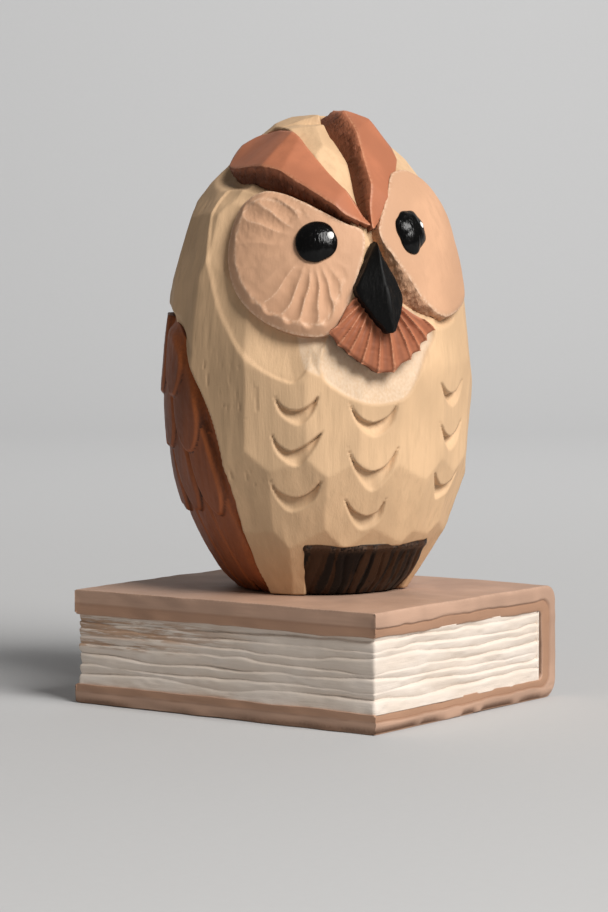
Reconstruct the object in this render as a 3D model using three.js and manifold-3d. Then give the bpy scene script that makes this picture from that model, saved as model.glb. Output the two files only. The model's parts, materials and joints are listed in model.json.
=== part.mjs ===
// A hand-carved, painted wooden owl standing on a carved wooden book.
//
// Millimetres, +Z up. The origin is the centre of the book's underside. The book's spine is
// towards +X, its fore edge towards -X. The owl stands in the middle of the book, turned on it.
// In the owl's own frame it looks along -Y, and "left" and "right" are as seen by somebody
// who faces it. A place on the owl is a turn about its axis (0 = the way it looks, in degrees,
// positive to the right) and a height above the book.

import * as THREE from 'three';
import { ConvexGeometry } from 'three/addons/geometries/ConvexGeometry.js';
import { mergeVertices } from 'three/addons/utils/BufferGeometryUtils.js';
import Module from 'manifold-3d';

const wasm = await Module();
wasm.setup();
const { Manifold, Mesh } = wasm;

// ---------------------------------------------------------------- driving dimensions

const GAP = 0.3; // glue line between two pieces
const TOLERANCE = 0.04; // how closely the facets keep to the cut shape

const BOOK = { width: 64, depth: 72, height: 22.6 };
const TOP_BOARD = 3.6;
const BOTTOM_BOARD = 3.8;
const SPINE = 5.0;
const SPINE_RADIUS = 3.5; // outer corner between spine and board
const LEAVES = 8; // carved bundles of pages
const LEAF_GROOVE = 0.6;

const OWL_TURN = -31; // the way the owl looks, about +Z
const OWL_LIFT = BOOK.height + 0.2;

// half outline of the owl: [radius, height above the book]
const EGG = [
  [16.2, 0], [20.2, 4.1], [25.3, 13], [28.5, 22], [29.8, 31], [30.2, 40],
  [28.9, 57], [24.7, 72], [19, 81], [13.4, 87], [8, 91],
];
const CROWN = 93;

// how far a piece stands above the owl's skin and goes into it
const DISC = { proud: 1.2, sunk: 2.4 };
const LEFT_BROW = { proud: 0.7, sunk: 3.0 };
const RIGHT_BROW = { proud: 1.4, sunk: 3.0 };
const WING = { proud: -0.3, sunk: 3.4 };
const TAIL = { proud: 0.8, sunk: 3.4 };
const FOOT = { proud: 0.4, sunk: 3.0 };

// the channel cut back into the skin round a face piece
const DISC_RELIEF = { width: 3.2, depth: 0.9 };
const BROW_RELIEF = { width: 2.0, depth: 1.6 };

const EYE = { radius: 4.0, dome: 1.3, seat: 0.8, peg: 1.6, pegLength: 4.2 };
const BIB = { flutes: 11, proud: 2.2, flute: 0.9, sunk: 2.0 };
const DOWEL = { radius: 3, inBook: 12, inOwl: 12, spacing: 14 };

const GOUGE = { ball: 6.5, depth: 1.5, shift: 2.4 };
const STAMP_DEPTH = 5; // how far below its outline a stamped prism starts

// ---------------------------------------------------------------- colours

const PAINT = {
  cream: ['#d8bd92', 0.62],
  peach: ['#cf9f78', 0.62],
  terracotta: ['#a65a3c', 0.6],
  wingBrown: ['#9a4a26', 0.55],
  footBrown: ['#2e201a', 0.4],
  black: ['#0d0c0c', 0.25],
  bookBrown: ['#a3826e', 0.65],
  pageWhite: ['#d8d2cc', 0.7],
  bareWood: ['#c9a878', 0.8],
};

function paint(name) {
  const [color, roughness] = PAINT[name];
  return new THREE.MeshStandardMaterial({ name, color, roughness, metalness: 0 });
}

// ---------------------------------------------------------------- solids

const rad = THREE.MathUtils.degToRad;
const vec = (x, y, z) => new THREE.Vector3(x, y, z);

function solid(geometry) {
  const bare = new THREE.BufferGeometry();
  bare.setAttribute('position', geometry.getAttribute('position').clone());
  if (geometry.index) bare.setIndex(geometry.index.clone());
  const welded = mergeVertices(bare, 1e-4);
  const mesh = new Mesh({
    numProp: 3,
    vertProperties: new Float32Array(welded.getAttribute('position').array),
    triVerts: new Uint32Array(welded.index.array),
  });
  mesh.merge();
  return new Manifold(mesh);
}

function biggest(manifold) {
  const pieces = manifold.decompose();
  return pieces.reduce((a, b) => (a.volume() > b.volume() ? a : b));
}

function part(name, manifold, colour) {
  const mesh = biggest(manifold).simplify(TOLERANCE).getMesh();
  const geometry = new THREE.BufferGeometry();
  geometry.setAttribute('position', new THREE.BufferAttribute(mesh.vertProperties, 3));
  geometry.setIndex(new THREE.BufferAttribute(mesh.triVerts, 1));
  geometry.computeVertexNormals();
  const node = new THREE.Mesh(geometry, paint(colour));
  node.name = name;
  return node;
}

function cylinder(radius, z0, z1, x = 0, y = 0, segments = 24) {
  const geometry = new THREE.CylinderGeometry(radius, radius, z1 - z0, segments);
  geometry.rotateX(Math.PI / 2);
  geometry.translate(x, y, (z0 + z1) / 2);
  return solid(geometry);
}

// the owl's rounded block, made fatter or thinner by `grow`
function eggProfile(grow) {
  const knots = EGG.map(([r, h]) => new THREE.Vector2(r, h));
  knots.push(new THREE.Vector2(0, CROWN));
  const points = new THREE.SplineCurve(knots).getPoints(19);
  const out = points.map((p, i) => {
    const a = points[Math.max(i - 1, 0)];
    const b = points[Math.min(i + 1, points.length - 1)];
    const along = b.clone().sub(a).normalize();
    return new THREE.Vector2(p.x + along.y * grow, p.y - along.x * grow);
  });
  out[0].set(out[0].x, grow === 0 ? 0 : -6);
  out[out.length - 1].set(0, CROWN + grow);
  return [new THREE.Vector2(0, out[0].y), ...out.filter((p) => p.x > 0.01 || p.y > 50)];
}

function egg(grow = 0) {
  const geometry = new THREE.LatheGeometry(eggProfile(grow), 40);
  geometry.rotateX(Math.PI / 2);
  return solid(geometry);
}

const profile = eggProfile(0).slice(1);

function radiusAt(height) {
  const i = Math.max(1, profile.findIndex((p) => p.y >= height));
  const a = profile[i - 1];
  const b = profile[i];
  return a.x + ((b.x - a.x) * (height - a.y)) / (b.y - a.y);
}

function place(turn, height, proud = 0) {
  const r = radiusAt(height) + proud;
  return vec(r * Math.sin(rad(turn)), -r * Math.cos(rad(turn)), height);
}

function outwards(turn, height) {
  const slope = (radiusAt(height + 1) - radiusAt(height - 1)) / 2;
  return vec(Math.sin(rad(turn)), -Math.cos(rad(turn)), -slope).normalize();
}

// ---------------------------------------------------------------- stamped outlines

function widen(outline, by) {
  const turning = Math.sign(THREE.ShapeUtils.area(outline));
  return outline.map((p, i) => {
    const a = outline[(i + outline.length - 1) % outline.length];
    const b = outline[(i + 1) % outline.length];
    const na = p.clone().sub(a).normalize();
    const nb = b.clone().sub(p).normalize();
    const out = vec(na.y + nb.y, -na.x - nb.x, 0).normalize();
    const mitre = Math.max(0.5, out.x * na.y - out.y * na.x);
    return new THREE.Vector2(p.x + (out.x * by * turning) / mitre, p.y + (out.y * by * turning) / mitre);
  });
}

// a straight-sided prism through an outline on the owl, cut along `direction`
function stamp(outline, direction, by = 0) {
  const frame = new THREE.Matrix4();
  const side = vec(0, 0, 1).cross(direction).normalize();
  frame.makeBasis(side, direction.clone().cross(side), direction);
  const back = frame.clone().invert();
  const seen = outline.map((p) => p.clone().applyMatrix4(back));
  const start = Math.min(...seen.map((p) => p.z)) - STAMP_DEPTH;
  const shape = new THREE.Shape(widen(seen.map((p) => new THREE.Vector2(p.x, p.y)), by));
  const geometry = new THREE.ExtrudeGeometry(shape, { depth: 60, bevelEnabled: false });
  geometry.translate(0, 0, start);
  geometry.applyMatrix4(frame);
  return solid(geometry);
}

// an inlay: the piece that follows the owl's skin inside an outline, and the pocket it sits in
function inlay(outline, direction, { proud, sunk }) {
  const piece = stamp(outline, direction).intersect(egg(proud)).subtract(egg(-sunk));
  const pocket = stamp(outline, direction, GAP).subtract(egg(-sunk - GAP));
  const relief = ({ width, depth }) => stamp(outline, direction, width).subtract(egg(-depth));
  return { piece, pocket, relief };
}

function rounded(places, divisions) {
  const points = places.map(([turn, height]) => place(turn, height));
  return new THREE.CatmullRomCurve3(points, true, 'catmullrom', 0.4).getPoints(divisions).slice(0, -1);
}

const straight = (places) => places.map(([turn, height]) => place(turn, height));
const mirrored = (places) => places.map(([turn, height]) => [-turn, height]);

const above = (z) => {
  const geometry = new THREE.BoxGeometry(200, 200, 200);
  geometry.translate(0, 0, 100 + z);
  return solid(geometry);
};

// ---------------------------------------------------------------- the face

const LEFT_DISC_OUTLINE = [
  [-17, 51.2], [-9, 59.9], [-4, 68.6], [-12.5, 71], [-30, 74.8], [-42, 76.8], [-52, 76.9],
  [-61, 74], [-62.5, 66], [-56, 58.2], [-43.5, 52.6], [-28, 49.9],
];

const RIGHT_DISC_OUTLINE = [
  [0.8, 69.2], [5.2, 62.8], [9, 57.4], [15, 54.8], [27, 52.6], [38, 53.6], [48, 56.2], [52.5, 61],
  [54, 67], [57, 72.5], [54, 77.5], [45, 80.2], [33, 81.4], [20, 80.6], [12, 77.5], [5, 73.2],
];

function faceDisc(places, turn) {
  return inlay(rounded(places, 40), outwards(turn, 64), DISC);
}

const LEFT_BROW_OUTLINE = [
  [-1.8, 69.9], [-4.2, 69.6], [-12.3, 71.5], [-21, 73.5], [-30, 75.6], [-40, 77.4], [-52, 78.7],
  [-67, 80], [-80, 80.5], [-92, 81.5], [-98, 86], [-95, 90.2], [-60, 89.9], [-40.4, 87.8],
  [-28, 84.8], [-17, 80.4], [-8.6, 75.6], [-3.4, 71.6],
];

const RIGHT_BROW_OUTLINE = [
  [-1.8, 70.4], [-2.4, 75], [-2.4, 79], [-1.6, 83], [-0.4, 86.1], [-8, 89.9], [-33, 92.2],
  [50, 92.6], [62, 89.4], [56, 86.8], [51, 85.2], [33, 82.2], [23, 79.4], [15, 76.2],
  [7, 72.6], [1.6, 70],
];

function brow(places, fit) {
  const outline = straight(places);
  const middle = outline.reduce((sum, p) => sum.add(p), vec(0, 0, 0)).divideScalar(outline.length);
  return inlay(outline, middle.sub(vec(0, 0, 58)).normalize(), fit);
}

// a kite with a ridge down its middle and a tenon into the head
function beak(by = 0) {
  const corners = [
    vec(-1.3, -29.6, 66.6), vec(-5.3, -30.6, 58.3), vec(3.7, -31.2, 57), vec(0.4, -34.3, 50.6),
    vec(-0.8, -32.2, 63), vec(-0.3, -34.4, 56.5), vec(-1.2, -26, 65.2), vec(-3.6, -26, 58.6),
    vec(2.8, -26, 57.6), vec(0.2, -26, 53.5),
  ];
  const heart = vec(-0.4, -29.5, 59);
  return solid(new ConvexGeometry(corners.map((p) => {
    const away = p.clone().sub(heart).normalize();
    return p.clone().addScaledVector(away, by * 1.8);
  })));
}

// a fan of flutes that opens downwards from under the beak
function bib(by = 0) {
  const front = [];
  const back = [];
  const steps = BIB.flutes * 2;
  const push = (x, h, proud) => {
    const r = radiusAt(h);
    const y = Math.sqrt(r * r - x * x);
    front.push(x, -y - proud - by, h);
    back.push(x, -y + BIB.sunk + by, h);
  };
  push(0, 58 + by, BIB.proud);
  for (let i = 0; i <= steps; i += 1) {
    const t = i / steps;
    const angle = rad(THREE.MathUtils.lerp(208, 334, t));
    const ridge = i % 2 === 1;
    const reach = 13.2 + 2.2 * Math.sin(Math.PI * t) + (ridge ? 0.5 : 0) + by;
    push(reach * Math.cos(angle), 58 + reach * Math.sin(angle), ridge ? BIB.proud : BIB.proud - BIB.flute);
  }
  const count = steps + 2;
  const index = [];
  for (let i = 0; i < count; i += 1) {
    const j = (i + 1) % count;
    if (i > 0 && j > 0) index.push(0, i, j, count, count + j, count + i);
    index.push(i, count + i, j, j, count + i, count + j);
  }
  const geometry = new THREE.BufferGeometry();
  geometry.setAttribute('position', new THREE.Float32BufferAttribute([...front, ...back], 3));
  geometry.setIndex(index);
  return solid(geometry);
}

// a low black dome on a short peg that goes through the face disc into the head
function eye(turn, height, by = 0) {
  const { radius, dome, seat, peg, pegLength } = EYE;
  const edge = [];
  for (let i = 0; i <= 5; i += 1) {
    const a = (Math.PI / 2) * (i / 5);
    edge.push(new THREE.Vector2((radius + by) * Math.sin(a), dome * Math.cos(a) + by));
  }
  const points = [
    ...edge,
    new THREE.Vector2(radius + by, -seat - by),
    new THREE.Vector2(peg + by, -seat - by),
    new THREE.Vector2(peg + by, -pegLength - by),
    new THREE.Vector2(0, -pegLength - by),
  ].reverse();
  points[points.length - 1].x = 0;
  const geometry = new THREE.LatheGeometry(points, 20);
  const axis = outwards(turn, height);
  geometry.applyQuaternion(new THREE.Quaternion().setFromUnitVectors(vec(0, 1, 0), axis));
  const at = place(turn, height, DISC.proud);
  geometry.translate(at.x, at.y, at.z);
  return solid(geometry);
}

// ---------------------------------------------------------------- body, wings, tail and feet

const WING_OUTLINE = [
  [-60, -3], [-56, 6], [-58, 15], [-59.5, 24], [-65, 34], [-73, 42], [-82, 48.5], [-92, 53.6],
  [-120, 56], [-150, 52], [-166, 40], [-160, 20], [-156, -3],
];

function wing(sign) {
  const places = sign < 0 ? WING_OUTLINE : mirrored(WING_OUTLINE);
  return inlay(straight(places), outwards(110 * sign, 40), WING);
}

function tail() {
  const places = [
    [-202, -3], [-204, 8], [-200, 20], [-190, 27], [-180, 29], [-170, 27], [-160, 20], [-156, 8],
    [-158, -3],
  ];
  return inlay(straight(places), vec(0, 1, 0), TAIL);
}

function footBlock() {
  const places = [[-33, -3], [-30, 10.7], [4, 9.8], [39, 10.7], [52, -3]];
  return inlay(straight(places), outwards(8, 20), FOOT);
}

// one crescent cut of a breast feather: a ball dips into the skin, less the ball above it
function featherGouge(turn, height) {
  const at = place(turn, height).addScaledVector(outwards(turn, height), GOUGE.ball - GOUGE.depth);
  const ball = (rise) => {
    const geometry = new THREE.IcosahedronGeometry(GOUGE.ball, 1);
    geometry.translate(at.x, at.y, at.z + rise);
    return solid(geometry);
  };
  return ball(0).subtract(ball(GOUGE.shift));
}

function featherGouges() {
  const columns = [
    { turn: -32, tops: [38.6, 31, 22.2] },
    { turn: 0, tops: [36.6, 27.4, 18.4] },
    { turn: 35, tops: [41.2, 33, 23.6] },
  ];
  return columns.flatMap(({ turn, tops }) => tops.map((h) => featherGouge(turn, h)));
}

function dowels(by = 0) {
  const { radius, inBook, inOwl, spacing } = DOWEL;
  return [-0.5, 0.5].map((k) => {
    const z0 = -inBook - 0.2 - by;
    const z1 = inOwl + by;
    return cylinder(radius + by, z0, z1, 0, k * spacing);
  });
}

// ---------------------------------------------------------------- the book

function bookCover() {
  const { width, depth, height } = BOOK;
  const x0 = -width / 2;
  const x1 = width / 2;
  const inner = x1 - SPINE;
  const shape = new THREE.Shape();
  shape.moveTo(x0, 0);
  shape.lineTo(x1 - SPINE_RADIUS, 0);
  shape.absarc(x1 - SPINE_RADIUS, SPINE_RADIUS, SPINE_RADIUS, -Math.PI / 2, 0);
  shape.absarc(x1 - SPINE_RADIUS, height - SPINE_RADIUS, SPINE_RADIUS, 0, Math.PI / 2);
  shape.lineTo(x0, height);
  shape.lineTo(x0, height - TOP_BOARD);
  shape.lineTo(inner, height - TOP_BOARD);
  shape.lineTo(inner, BOTTOM_BOARD);
  shape.lineTo(x0, BOTTOM_BOARD);
  const geometry = new THREE.ExtrudeGeometry(shape, {
    depth, bevelEnabled: false, curveSegments: 8,
  });
  geometry.rotateX(Math.PI / 2);
  geometry.translate(0, depth / 2, 0);
  return solid(geometry);
}

// one way through the page block: a slab whose two ends carry the grooves between the leaves
function leafSlab(length, depth, z0, z1) {
  const shape = new THREE.Shape();
  const pitch = (z1 - z0) / LEAVES;
  const edge = [];
  for (let i = 0; i < LEAVES; i += 1) {
    const z = z0 + i * pitch;
    edge.push([length / 2, z + 0.2], [length / 2, z + pitch - 0.35]);
    if (i < LEAVES - 1) edge.push([length / 2 - LEAF_GROOVE, z + pitch - 0.05]);
  }
  edge.forEach(([x, z], i) => (i === 0 ? shape.moveTo(x, z) : shape.lineTo(x, z)));
  edge.reverse().forEach(([x, z]) => shape.lineTo(-x, z));
  const geometry = new THREE.ExtrudeGeometry(shape, { depth, bevelEnabled: false });
  geometry.rotateX(Math.PI / 2);
  geometry.translate(0, depth / 2, 0);
  return geometry;
}

function pageBlock() {
  const z0 = BOTTOM_BOARD + GAP - 0.2;
  const z1 = BOOK.height - TOP_BOARD - GAP + 0.35;
  const width = BOOK.width - SPINE - GAP;
  const depth = BOOK.depth - 0.6;
  const along = leafSlab(width * 2, depth + 20, z0, z1);
  along.translate(width - BOOK.width / 2 + 0.2, 0, 0);
  const across = leafSlab(depth, BOOK.width * 3, z0, z1);
  across.rotateZ(Math.PI / 2);
  const spineSide = new THREE.BoxGeometry(width - 0.2, 200, 200);
  spineSide.translate((width - 0.2) / 2 - BOOK.width / 2 + 0.2, 0, 0);
  return solid(along).intersect(solid(across)).intersect(solid(spineSide));
}

// ---------------------------------------------------------------- assembly

function cut(target, ...tools) {
  return tools.reduce((left, tool) => left.subtract(tool), target);
}

function owl() {
  const group = new THREE.Group();
  group.position.z = OWL_LIFT;
  group.rotation.z = rad(OWL_TURN);

  const leftDisc = faceDisc(LEFT_DISC_OUTLINE, -32);
  const rightDisc = faceDisc(RIGHT_DISC_OUTLINE, 32);
  const leftBrow = brow(LEFT_BROW_OUTLINE, LEFT_BROW);
  const rightBrow = brow(RIGHT_BROW_OUTLINE, RIGHT_BROW);
  const leftWing = wing(-1);
  const rightWing = wing(1);
  const rump = tail();
  const feet = footBlock();
  const leftEye = [-24, 67.3];
  const rightEye = [16, 69.4];
  const floor = above(0);

  const beakRoom = beak(GAP);
  const bibRoom = bib(GAP);
  const leftEyeRoom = eye(...leftEye, GAP);
  const rightEyeRoom = eye(...rightEye, GAP);
  const faceRoom = [beakRoom, bibRoom, leftEyeRoom, rightEyeRoom];

  const body = cut(
    egg(), leftDisc.pocket, rightDisc.pocket, leftBrow.pocket, rightBrow.pocket,
    leftWing.pocket, rightWing.pocket, rump.pocket, feet.pocket,
    leftDisc.relief(DISC_RELIEF), rightDisc.relief(DISC_RELIEF),
    leftBrow.relief(BROW_RELIEF), rightBrow.relief(BROW_RELIEF),
    ...faceRoom, ...featherGouges(), ...dowels(GAP),
  );
  group.add(part('owl_body', body, 'cream'));
  group.add(part('left_face_disc', cut(leftDisc.piece, ...faceRoom), 'peach'));
  const rightDiscRoom = [leftDisc.pocket, leftBrow.pocket, rightBrow.pocket, ...faceRoom];
  group.add(part('right_face_disc', cut(rightDisc.piece, ...rightDiscRoom), 'peach'));
  group.add(part('left_brow', cut(leftBrow.piece, leftDisc.pocket, beakRoom), 'terracotta'));
  const rightBrowRoom = [leftDisc.pocket, leftBrow.pocket, beakRoom];
  group.add(part('right_brow', cut(rightBrow.piece, ...rightBrowRoom), 'terracotta'));
  group.add(part('beak', beak(), 'black'));
  group.add(part('chin_bib', cut(bib(), beakRoom), 'terracotta'));
  group.add(part('left_eye', eye(...leftEye), 'black'));
  group.add(part('right_eye', eye(...rightEye), 'black'));
  group.add(part('left_wing', cut(leftWing.piece, rump.pocket, feet.pocket).intersect(floor), 'wingBrown'));
  group.add(part('right_wing', cut(rightWing.piece, rump.pocket, feet.pocket).intersect(floor), 'wingBrown'));
  group.add(part('tail', rump.piece.intersect(floor), 'wingBrown'));
  group.add(part('foot_block', feet.piece.intersect(floor), 'footBrown'));
  dowels().forEach((pin, i) => group.add(part(['front_dowel', 'rear_dowel'][i], pin, 'bareWood')));
  return group;
}

function book() {
  const group = new THREE.Group();
  const holes = dowels(GAP).map((pin) => pin.rotate([0, 0, OWL_TURN]).translate([0, 0, OWL_LIFT]));
  group.add(part('book_cover', cut(bookCover(), ...holes), 'bookBrown'));
  group.add(part('page_block', cut(pageBlock(), ...holes), 'pageWhite'));
  return group;
}

const figurine = new THREE.Group();
figurine.name = 'owl_on_book';
figurine.add(book(), owl());

export default figurine;
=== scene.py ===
# %% [markdown]
# # A carved owl on a carved book
#
# The real thing is a hand-carved and painted desk figurine: a rounded owl, whittled with a knife
# and a gouge, standing on a small wooden book. What makes it look real is the carving, so every
# piece here is a dense mesh whose points are moved by carving formulas: flat knife facets, gouge
# cuts, grooves and torn fibres. Paint comes last, as procedural materials.
#
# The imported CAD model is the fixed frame. It gives the size and place of every piece. All
# but the paint dots in the eyes replace one CAD node each. The hidden dowels stay as the CAD made
# them.

# %% Load the frame
import json
from math import cos, pi, radians, sin
import bpy
import numpy as np
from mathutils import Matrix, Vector

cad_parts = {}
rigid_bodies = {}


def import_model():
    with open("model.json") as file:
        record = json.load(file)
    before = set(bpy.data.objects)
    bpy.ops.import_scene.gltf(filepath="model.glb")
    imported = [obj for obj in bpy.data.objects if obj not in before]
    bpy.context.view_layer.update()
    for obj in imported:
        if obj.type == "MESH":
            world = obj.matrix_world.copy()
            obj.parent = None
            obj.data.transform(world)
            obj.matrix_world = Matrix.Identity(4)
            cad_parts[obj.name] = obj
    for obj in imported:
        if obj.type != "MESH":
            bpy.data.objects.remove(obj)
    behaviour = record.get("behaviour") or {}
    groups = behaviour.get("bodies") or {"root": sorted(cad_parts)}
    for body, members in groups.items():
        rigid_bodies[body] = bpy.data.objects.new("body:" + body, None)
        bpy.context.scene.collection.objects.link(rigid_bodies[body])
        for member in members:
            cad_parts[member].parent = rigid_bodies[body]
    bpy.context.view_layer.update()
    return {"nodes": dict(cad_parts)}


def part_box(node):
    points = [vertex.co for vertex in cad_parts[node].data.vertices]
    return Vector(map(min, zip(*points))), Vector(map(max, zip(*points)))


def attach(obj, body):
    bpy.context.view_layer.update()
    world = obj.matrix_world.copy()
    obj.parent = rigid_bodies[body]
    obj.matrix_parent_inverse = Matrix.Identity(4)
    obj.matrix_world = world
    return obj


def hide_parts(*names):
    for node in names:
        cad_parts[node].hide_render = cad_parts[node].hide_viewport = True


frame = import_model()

# %% [markdown]
# ## Two frames
#
# Carvers think in millimetres, so the shapes are worked out in millimetres and scaled once, when
# a mesh is made. The owl is turned on the book. Its pieces are made in the owl's own frame, where
# it looks along -Y, and turned into place at the end. "Left" is the left of somebody facing it.

# %% Shared sizes
MM = 0.001
OWL_TURN = radians(-31)
OWL_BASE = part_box("owl_body")[0][2] / MM
print("the owl stands at", round(OWL_BASE, 2), "mm")


def in_owl_frame(points):
    """Owl millimetres to the figurine's millimetres."""
    c, s = cos(OWL_TURN), sin(OWL_TURN)
    x, y, z = points[..., 0], points[..., 1], points[..., 2]
    return np.stack([c * x - s * y, s * x + c * y, z + OWL_BASE], -1)


# %% [markdown]
# ## Randomness that repeats
#
# Hand work is never even. Value noise gives smooth random bumps from a hashed grid of numbers. A
# hash needs no generator, so the carving is the same on every run, whatever order pieces are in.

# %% Noise for carving
def hashed(cell, seed):
    """A repeatable random number from 0 to 1 for each whole-number cell."""
    mixed = (cell[..., 0] * 374761393 + cell[..., 1] * 668265263 + cell[..., 2] * 1274126177
             + seed * 1442695041) & 0x7FFFFFFF
    mixed = ((mixed ^ (mixed >> 13)) * 1274126177) & 0x7FFFFFFF
    return ((mixed ^ (mixed >> 16)) & 0xFFFF) / 65535.0


def bumps(points, size, seed):
    """Smooth noise from -1 to 1. size is the bump's length in mm, one number or one per axis."""
    q = points / np.asarray(size, float)
    low = np.floor(q).astype(np.int64)
    t = q - low
    t = t * t * (3 - 2 * t)
    total = np.zeros(points.shape[:-1])
    for corner in np.ndindex(2, 2, 2):
        weight = np.prod(np.where(corner, t, 1 - t), -1)
        total += weight * hashed(low + corner, seed)
    return 2 * total - 1


def scatter(count, seed):
    """count repeatable random numbers from -1 to 1."""
    cells = np.stack([np.arange(count), np.full(count, 7), np.full(count, 3)], -1)
    return 2 * hashed(cells, seed) - 1


def ease(x, low, high):
    """0 below low, 1 above high, a smooth step between."""
    t = np.clip((x - low) / (high - low), 0, 1)
    return t * t * (3 - 2 * t)


# %% [markdown]
# ## One way to make every mesh
#
# A closed mesh can be made from rings, as a potter makes a pot from coils: a first point, rows of
# rings that each have the same number of points, and a last point. Subdivision modelling would
# also work, but rings leave each point's place open to a formula, which is what carving needs.
# Each ring point can also carry marks from 0 to 1, which the paints read later. "cut" is deep in
# a tool cut or a hollow, where the colour is darkened: partly paint that pools there, partly
# painted shade. "lip" is on a sharp edge, where the paint is rubbed thin and lighter; on the wing
# bevels, the bib's ridges and the foot's ledge that lighter colour is also a painted highlight.
# Some pieces have more: "wall" on torn side walls, "pale" and "fresh" in the cuts on the front,
# "stripe" on the foot panel, and on the book's cover "band" and one more mark for a dark strip
# along the low edge, which is partly knife nicks and partly painted shade.

# %% The ring mesh
def make_mesh(name, points, faces, marks):
    mesh = bpy.data.meshes.new(name)
    mesh.from_pydata((points * MM).tolist(), [], faces)
    for mark, values in marks.items():
        layer = mesh.attributes.new(mark, "FLOAT", "POINT")
        layer.data.foreach_set("value", np.asarray(values, np.float32))
    mesh.polygons.foreach_set("use_smooth", [True] * len(mesh.polygons))
    mesh.update()
    piece = bpy.data.objects.new(name, mesh)
    bpy.context.scene.collection.objects.link(piece)
    return piece


def ring_solid(name, rings, first, last, marks=None, on_owl=True):
    """A closed mesh from rings (rows, columns, xyz) between two end points, in mm."""
    rows, columns = rings.shape[:2]
    points = np.vstack([first, rings.reshape(-1, 3), last])
    grid = 1 + np.arange(rows * columns).reshape(rows, columns)
    after = np.roll(grid, -1, 1)
    quads = np.stack([grid[:-1], after[:-1], after[1:], grid[1:]], -1).reshape(-1, 4)
    top = np.stack([np.zeros(columns, int), after[0], grid[0]], -1)
    end = np.stack([np.full(columns, len(points) - 1), grid[-1], after[-1]], -1)
    a, b, c = points[quads[:, 0]], points[quads[:, 1]], points[quads[:, 2]]
    turned_in = np.einsum("ij,ij->i", a, np.cross(b, c)).sum() < 0
    faces = quads.tolist() + top.tolist() + end.tolist()
    if turned_in:
        faces = [face[::-1] for face in faces]
    blank = np.zeros((rows, columns))
    flat_marks = {mark: np.concatenate([[0], values.ravel(), [0]])
                  for mark, values in {"cut": blank, "lip": blank, **(marks or {})}.items()}
    placed = in_owl_frame(points) if on_owl else points
    piece = make_mesh(name, placed, faces, flat_marks)
    print(f"{name}: {len(points)} points, {len(faces)} faces")
    return piece


# %% [markdown]
# ## The owl's block
#
# Before any detail the carver rounds the block to an egg. Its half outline is a smooth curve
# through a few knots, given as radius and height. A place on the egg is a turn about the owl's
# axis (0 = the way it looks, positive to the right) and a distance down the skin from the crown.

# %% The egg
EGG = [(16.2, 0), (20.2, 4.1), (25.3, 13), (28.5, 22), (29.8, 31), (30.2, 40), (28.9, 57),
       (24.7, 72), (19, 81), (13.4, 87), (8, 91), (0, 93)]


def through(knots, steps, closed=False):
    """A smooth curve (Catmull-Rom) through the knots, with steps points a span."""
    knots = np.asarray(knots, float)
    if closed:
        padded = np.vstack([knots[-1], knots, knots[:2]])
    else:
        padded = np.vstack([2 * knots[0] - knots[1], knots, 2 * knots[-1] - knots[-2]])
    t = np.linspace(0, 1, steps, endpoint=False)[:, None]
    spans = []
    for p0, p1, p2, p3 in zip(padded, padded[1:], padded[2:], padded[3:]):
        pull_in, pull_out = (p2 - p0) / 2, (p3 - p1) / 2
        spans.append(p1 + pull_in * t + (3 * (p2 - p1) - 2 * pull_in - pull_out) * t ** 2
                     + (2 * (p1 - p2) + pull_in + pull_out) * t ** 3)
    curve = np.vstack(spans)
    return curve if closed else np.vstack([curve, knots[-1]])


def along_line(line):
    """How far along a line each of its points is."""
    return np.concatenate([[0], np.cumsum(np.linalg.norm(np.diff(line, axis=0), axis=1))])


SPAN_STEPS = 40
outline = through(EGG + [(-8, 91)], SPAN_STEPS)[:-SPAN_STEPS][::-1]
SKIN_LENGTH = np.linalg.norm(np.diff(outline, axis=0), axis=1).sum()
base_slope = (outline[-1] - outline[-2]) / np.linalg.norm(outline[-1] - outline[-2])
profile = np.vstack([outline, outline[-1] + np.linspace(0.5, 8, 16)[:, None] * base_slope])
profile_down = along_line(profile)
slope = np.gradient(profile, profile_down, axis=0)
slope /= np.linalg.norm(slope, axis=1)[:, None]
print("from crown to base along the skin:", round(SKIN_LENGTH, 1), "mm")


def down_at(height):
    return np.interp(-np.asarray(height, float), -profile[:, 1], profile_down)


def height_at(down):
    return np.interp(down, profile_down, profile[:, 1])


def skin(turn, down, proud=0.0):
    """Points on the egg, moved out along its normal by proud mm."""
    r, h = (np.interp(down, profile_down, profile[:, k]) for k in (0, 1))
    out = -np.interp(down, profile_down, slope[:, 1])
    up = np.interp(down, profile_down, slope[:, 0])
    r, h = r + out * proud, h + up * proud
    return np.stack([r * np.sin(turn), -r * np.cos(turn), h], -1)


def skin_normal(turn, down):
    return skin(turn, down, 1.0) - skin(turn, down)


# %% [markdown]
# ## Drawing on the block
#
# The carver pencils each piece's outline on the block before cutting in. A map flattens the skin
# round the piece, so that its outline is a plain 2-D loop, and the distance from any point to the
# outline is known. That distance shapes channels, rims and grooves. Near the crown a map seen
# from above stretches least. Lower down, the skin is unrolled like a label from a jar.

# %% Maps and outlines
class LabelMap:
    """The skin unrolled at a radius in mm, round a centre turn. side=-1 mirrors the drawing."""
    def __init__(self, radius, centre=0.0, side=1):
        self.radius, self.centre, self.side = radius, radians(centre), side

    def flat(self, turn, down):
        from_centre = (turn - self.centre + pi) % (2 * pi) - pi
        return np.stack([self.side * from_centre * self.radius, -down], -1)

    def place(self, flat):
        return self.centre + self.side * flat[..., 0] / self.radius, -flat[..., 1]


class CrownMap:
    """The skin seen from above the crown."""
    def flat(self, turn, down):
        return np.stack([down * np.sin(turn), -down * np.cos(turn)], -1)

    def place(self, flat):
        return np.arctan2(flat[..., 0], -flat[..., 1]), np.hypot(flat[..., 0], flat[..., 1])


FACE_MAP, BELLY_MAP, CROWN_MAP = LabelMap(27), LabelMap(29), CrownMap()


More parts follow.
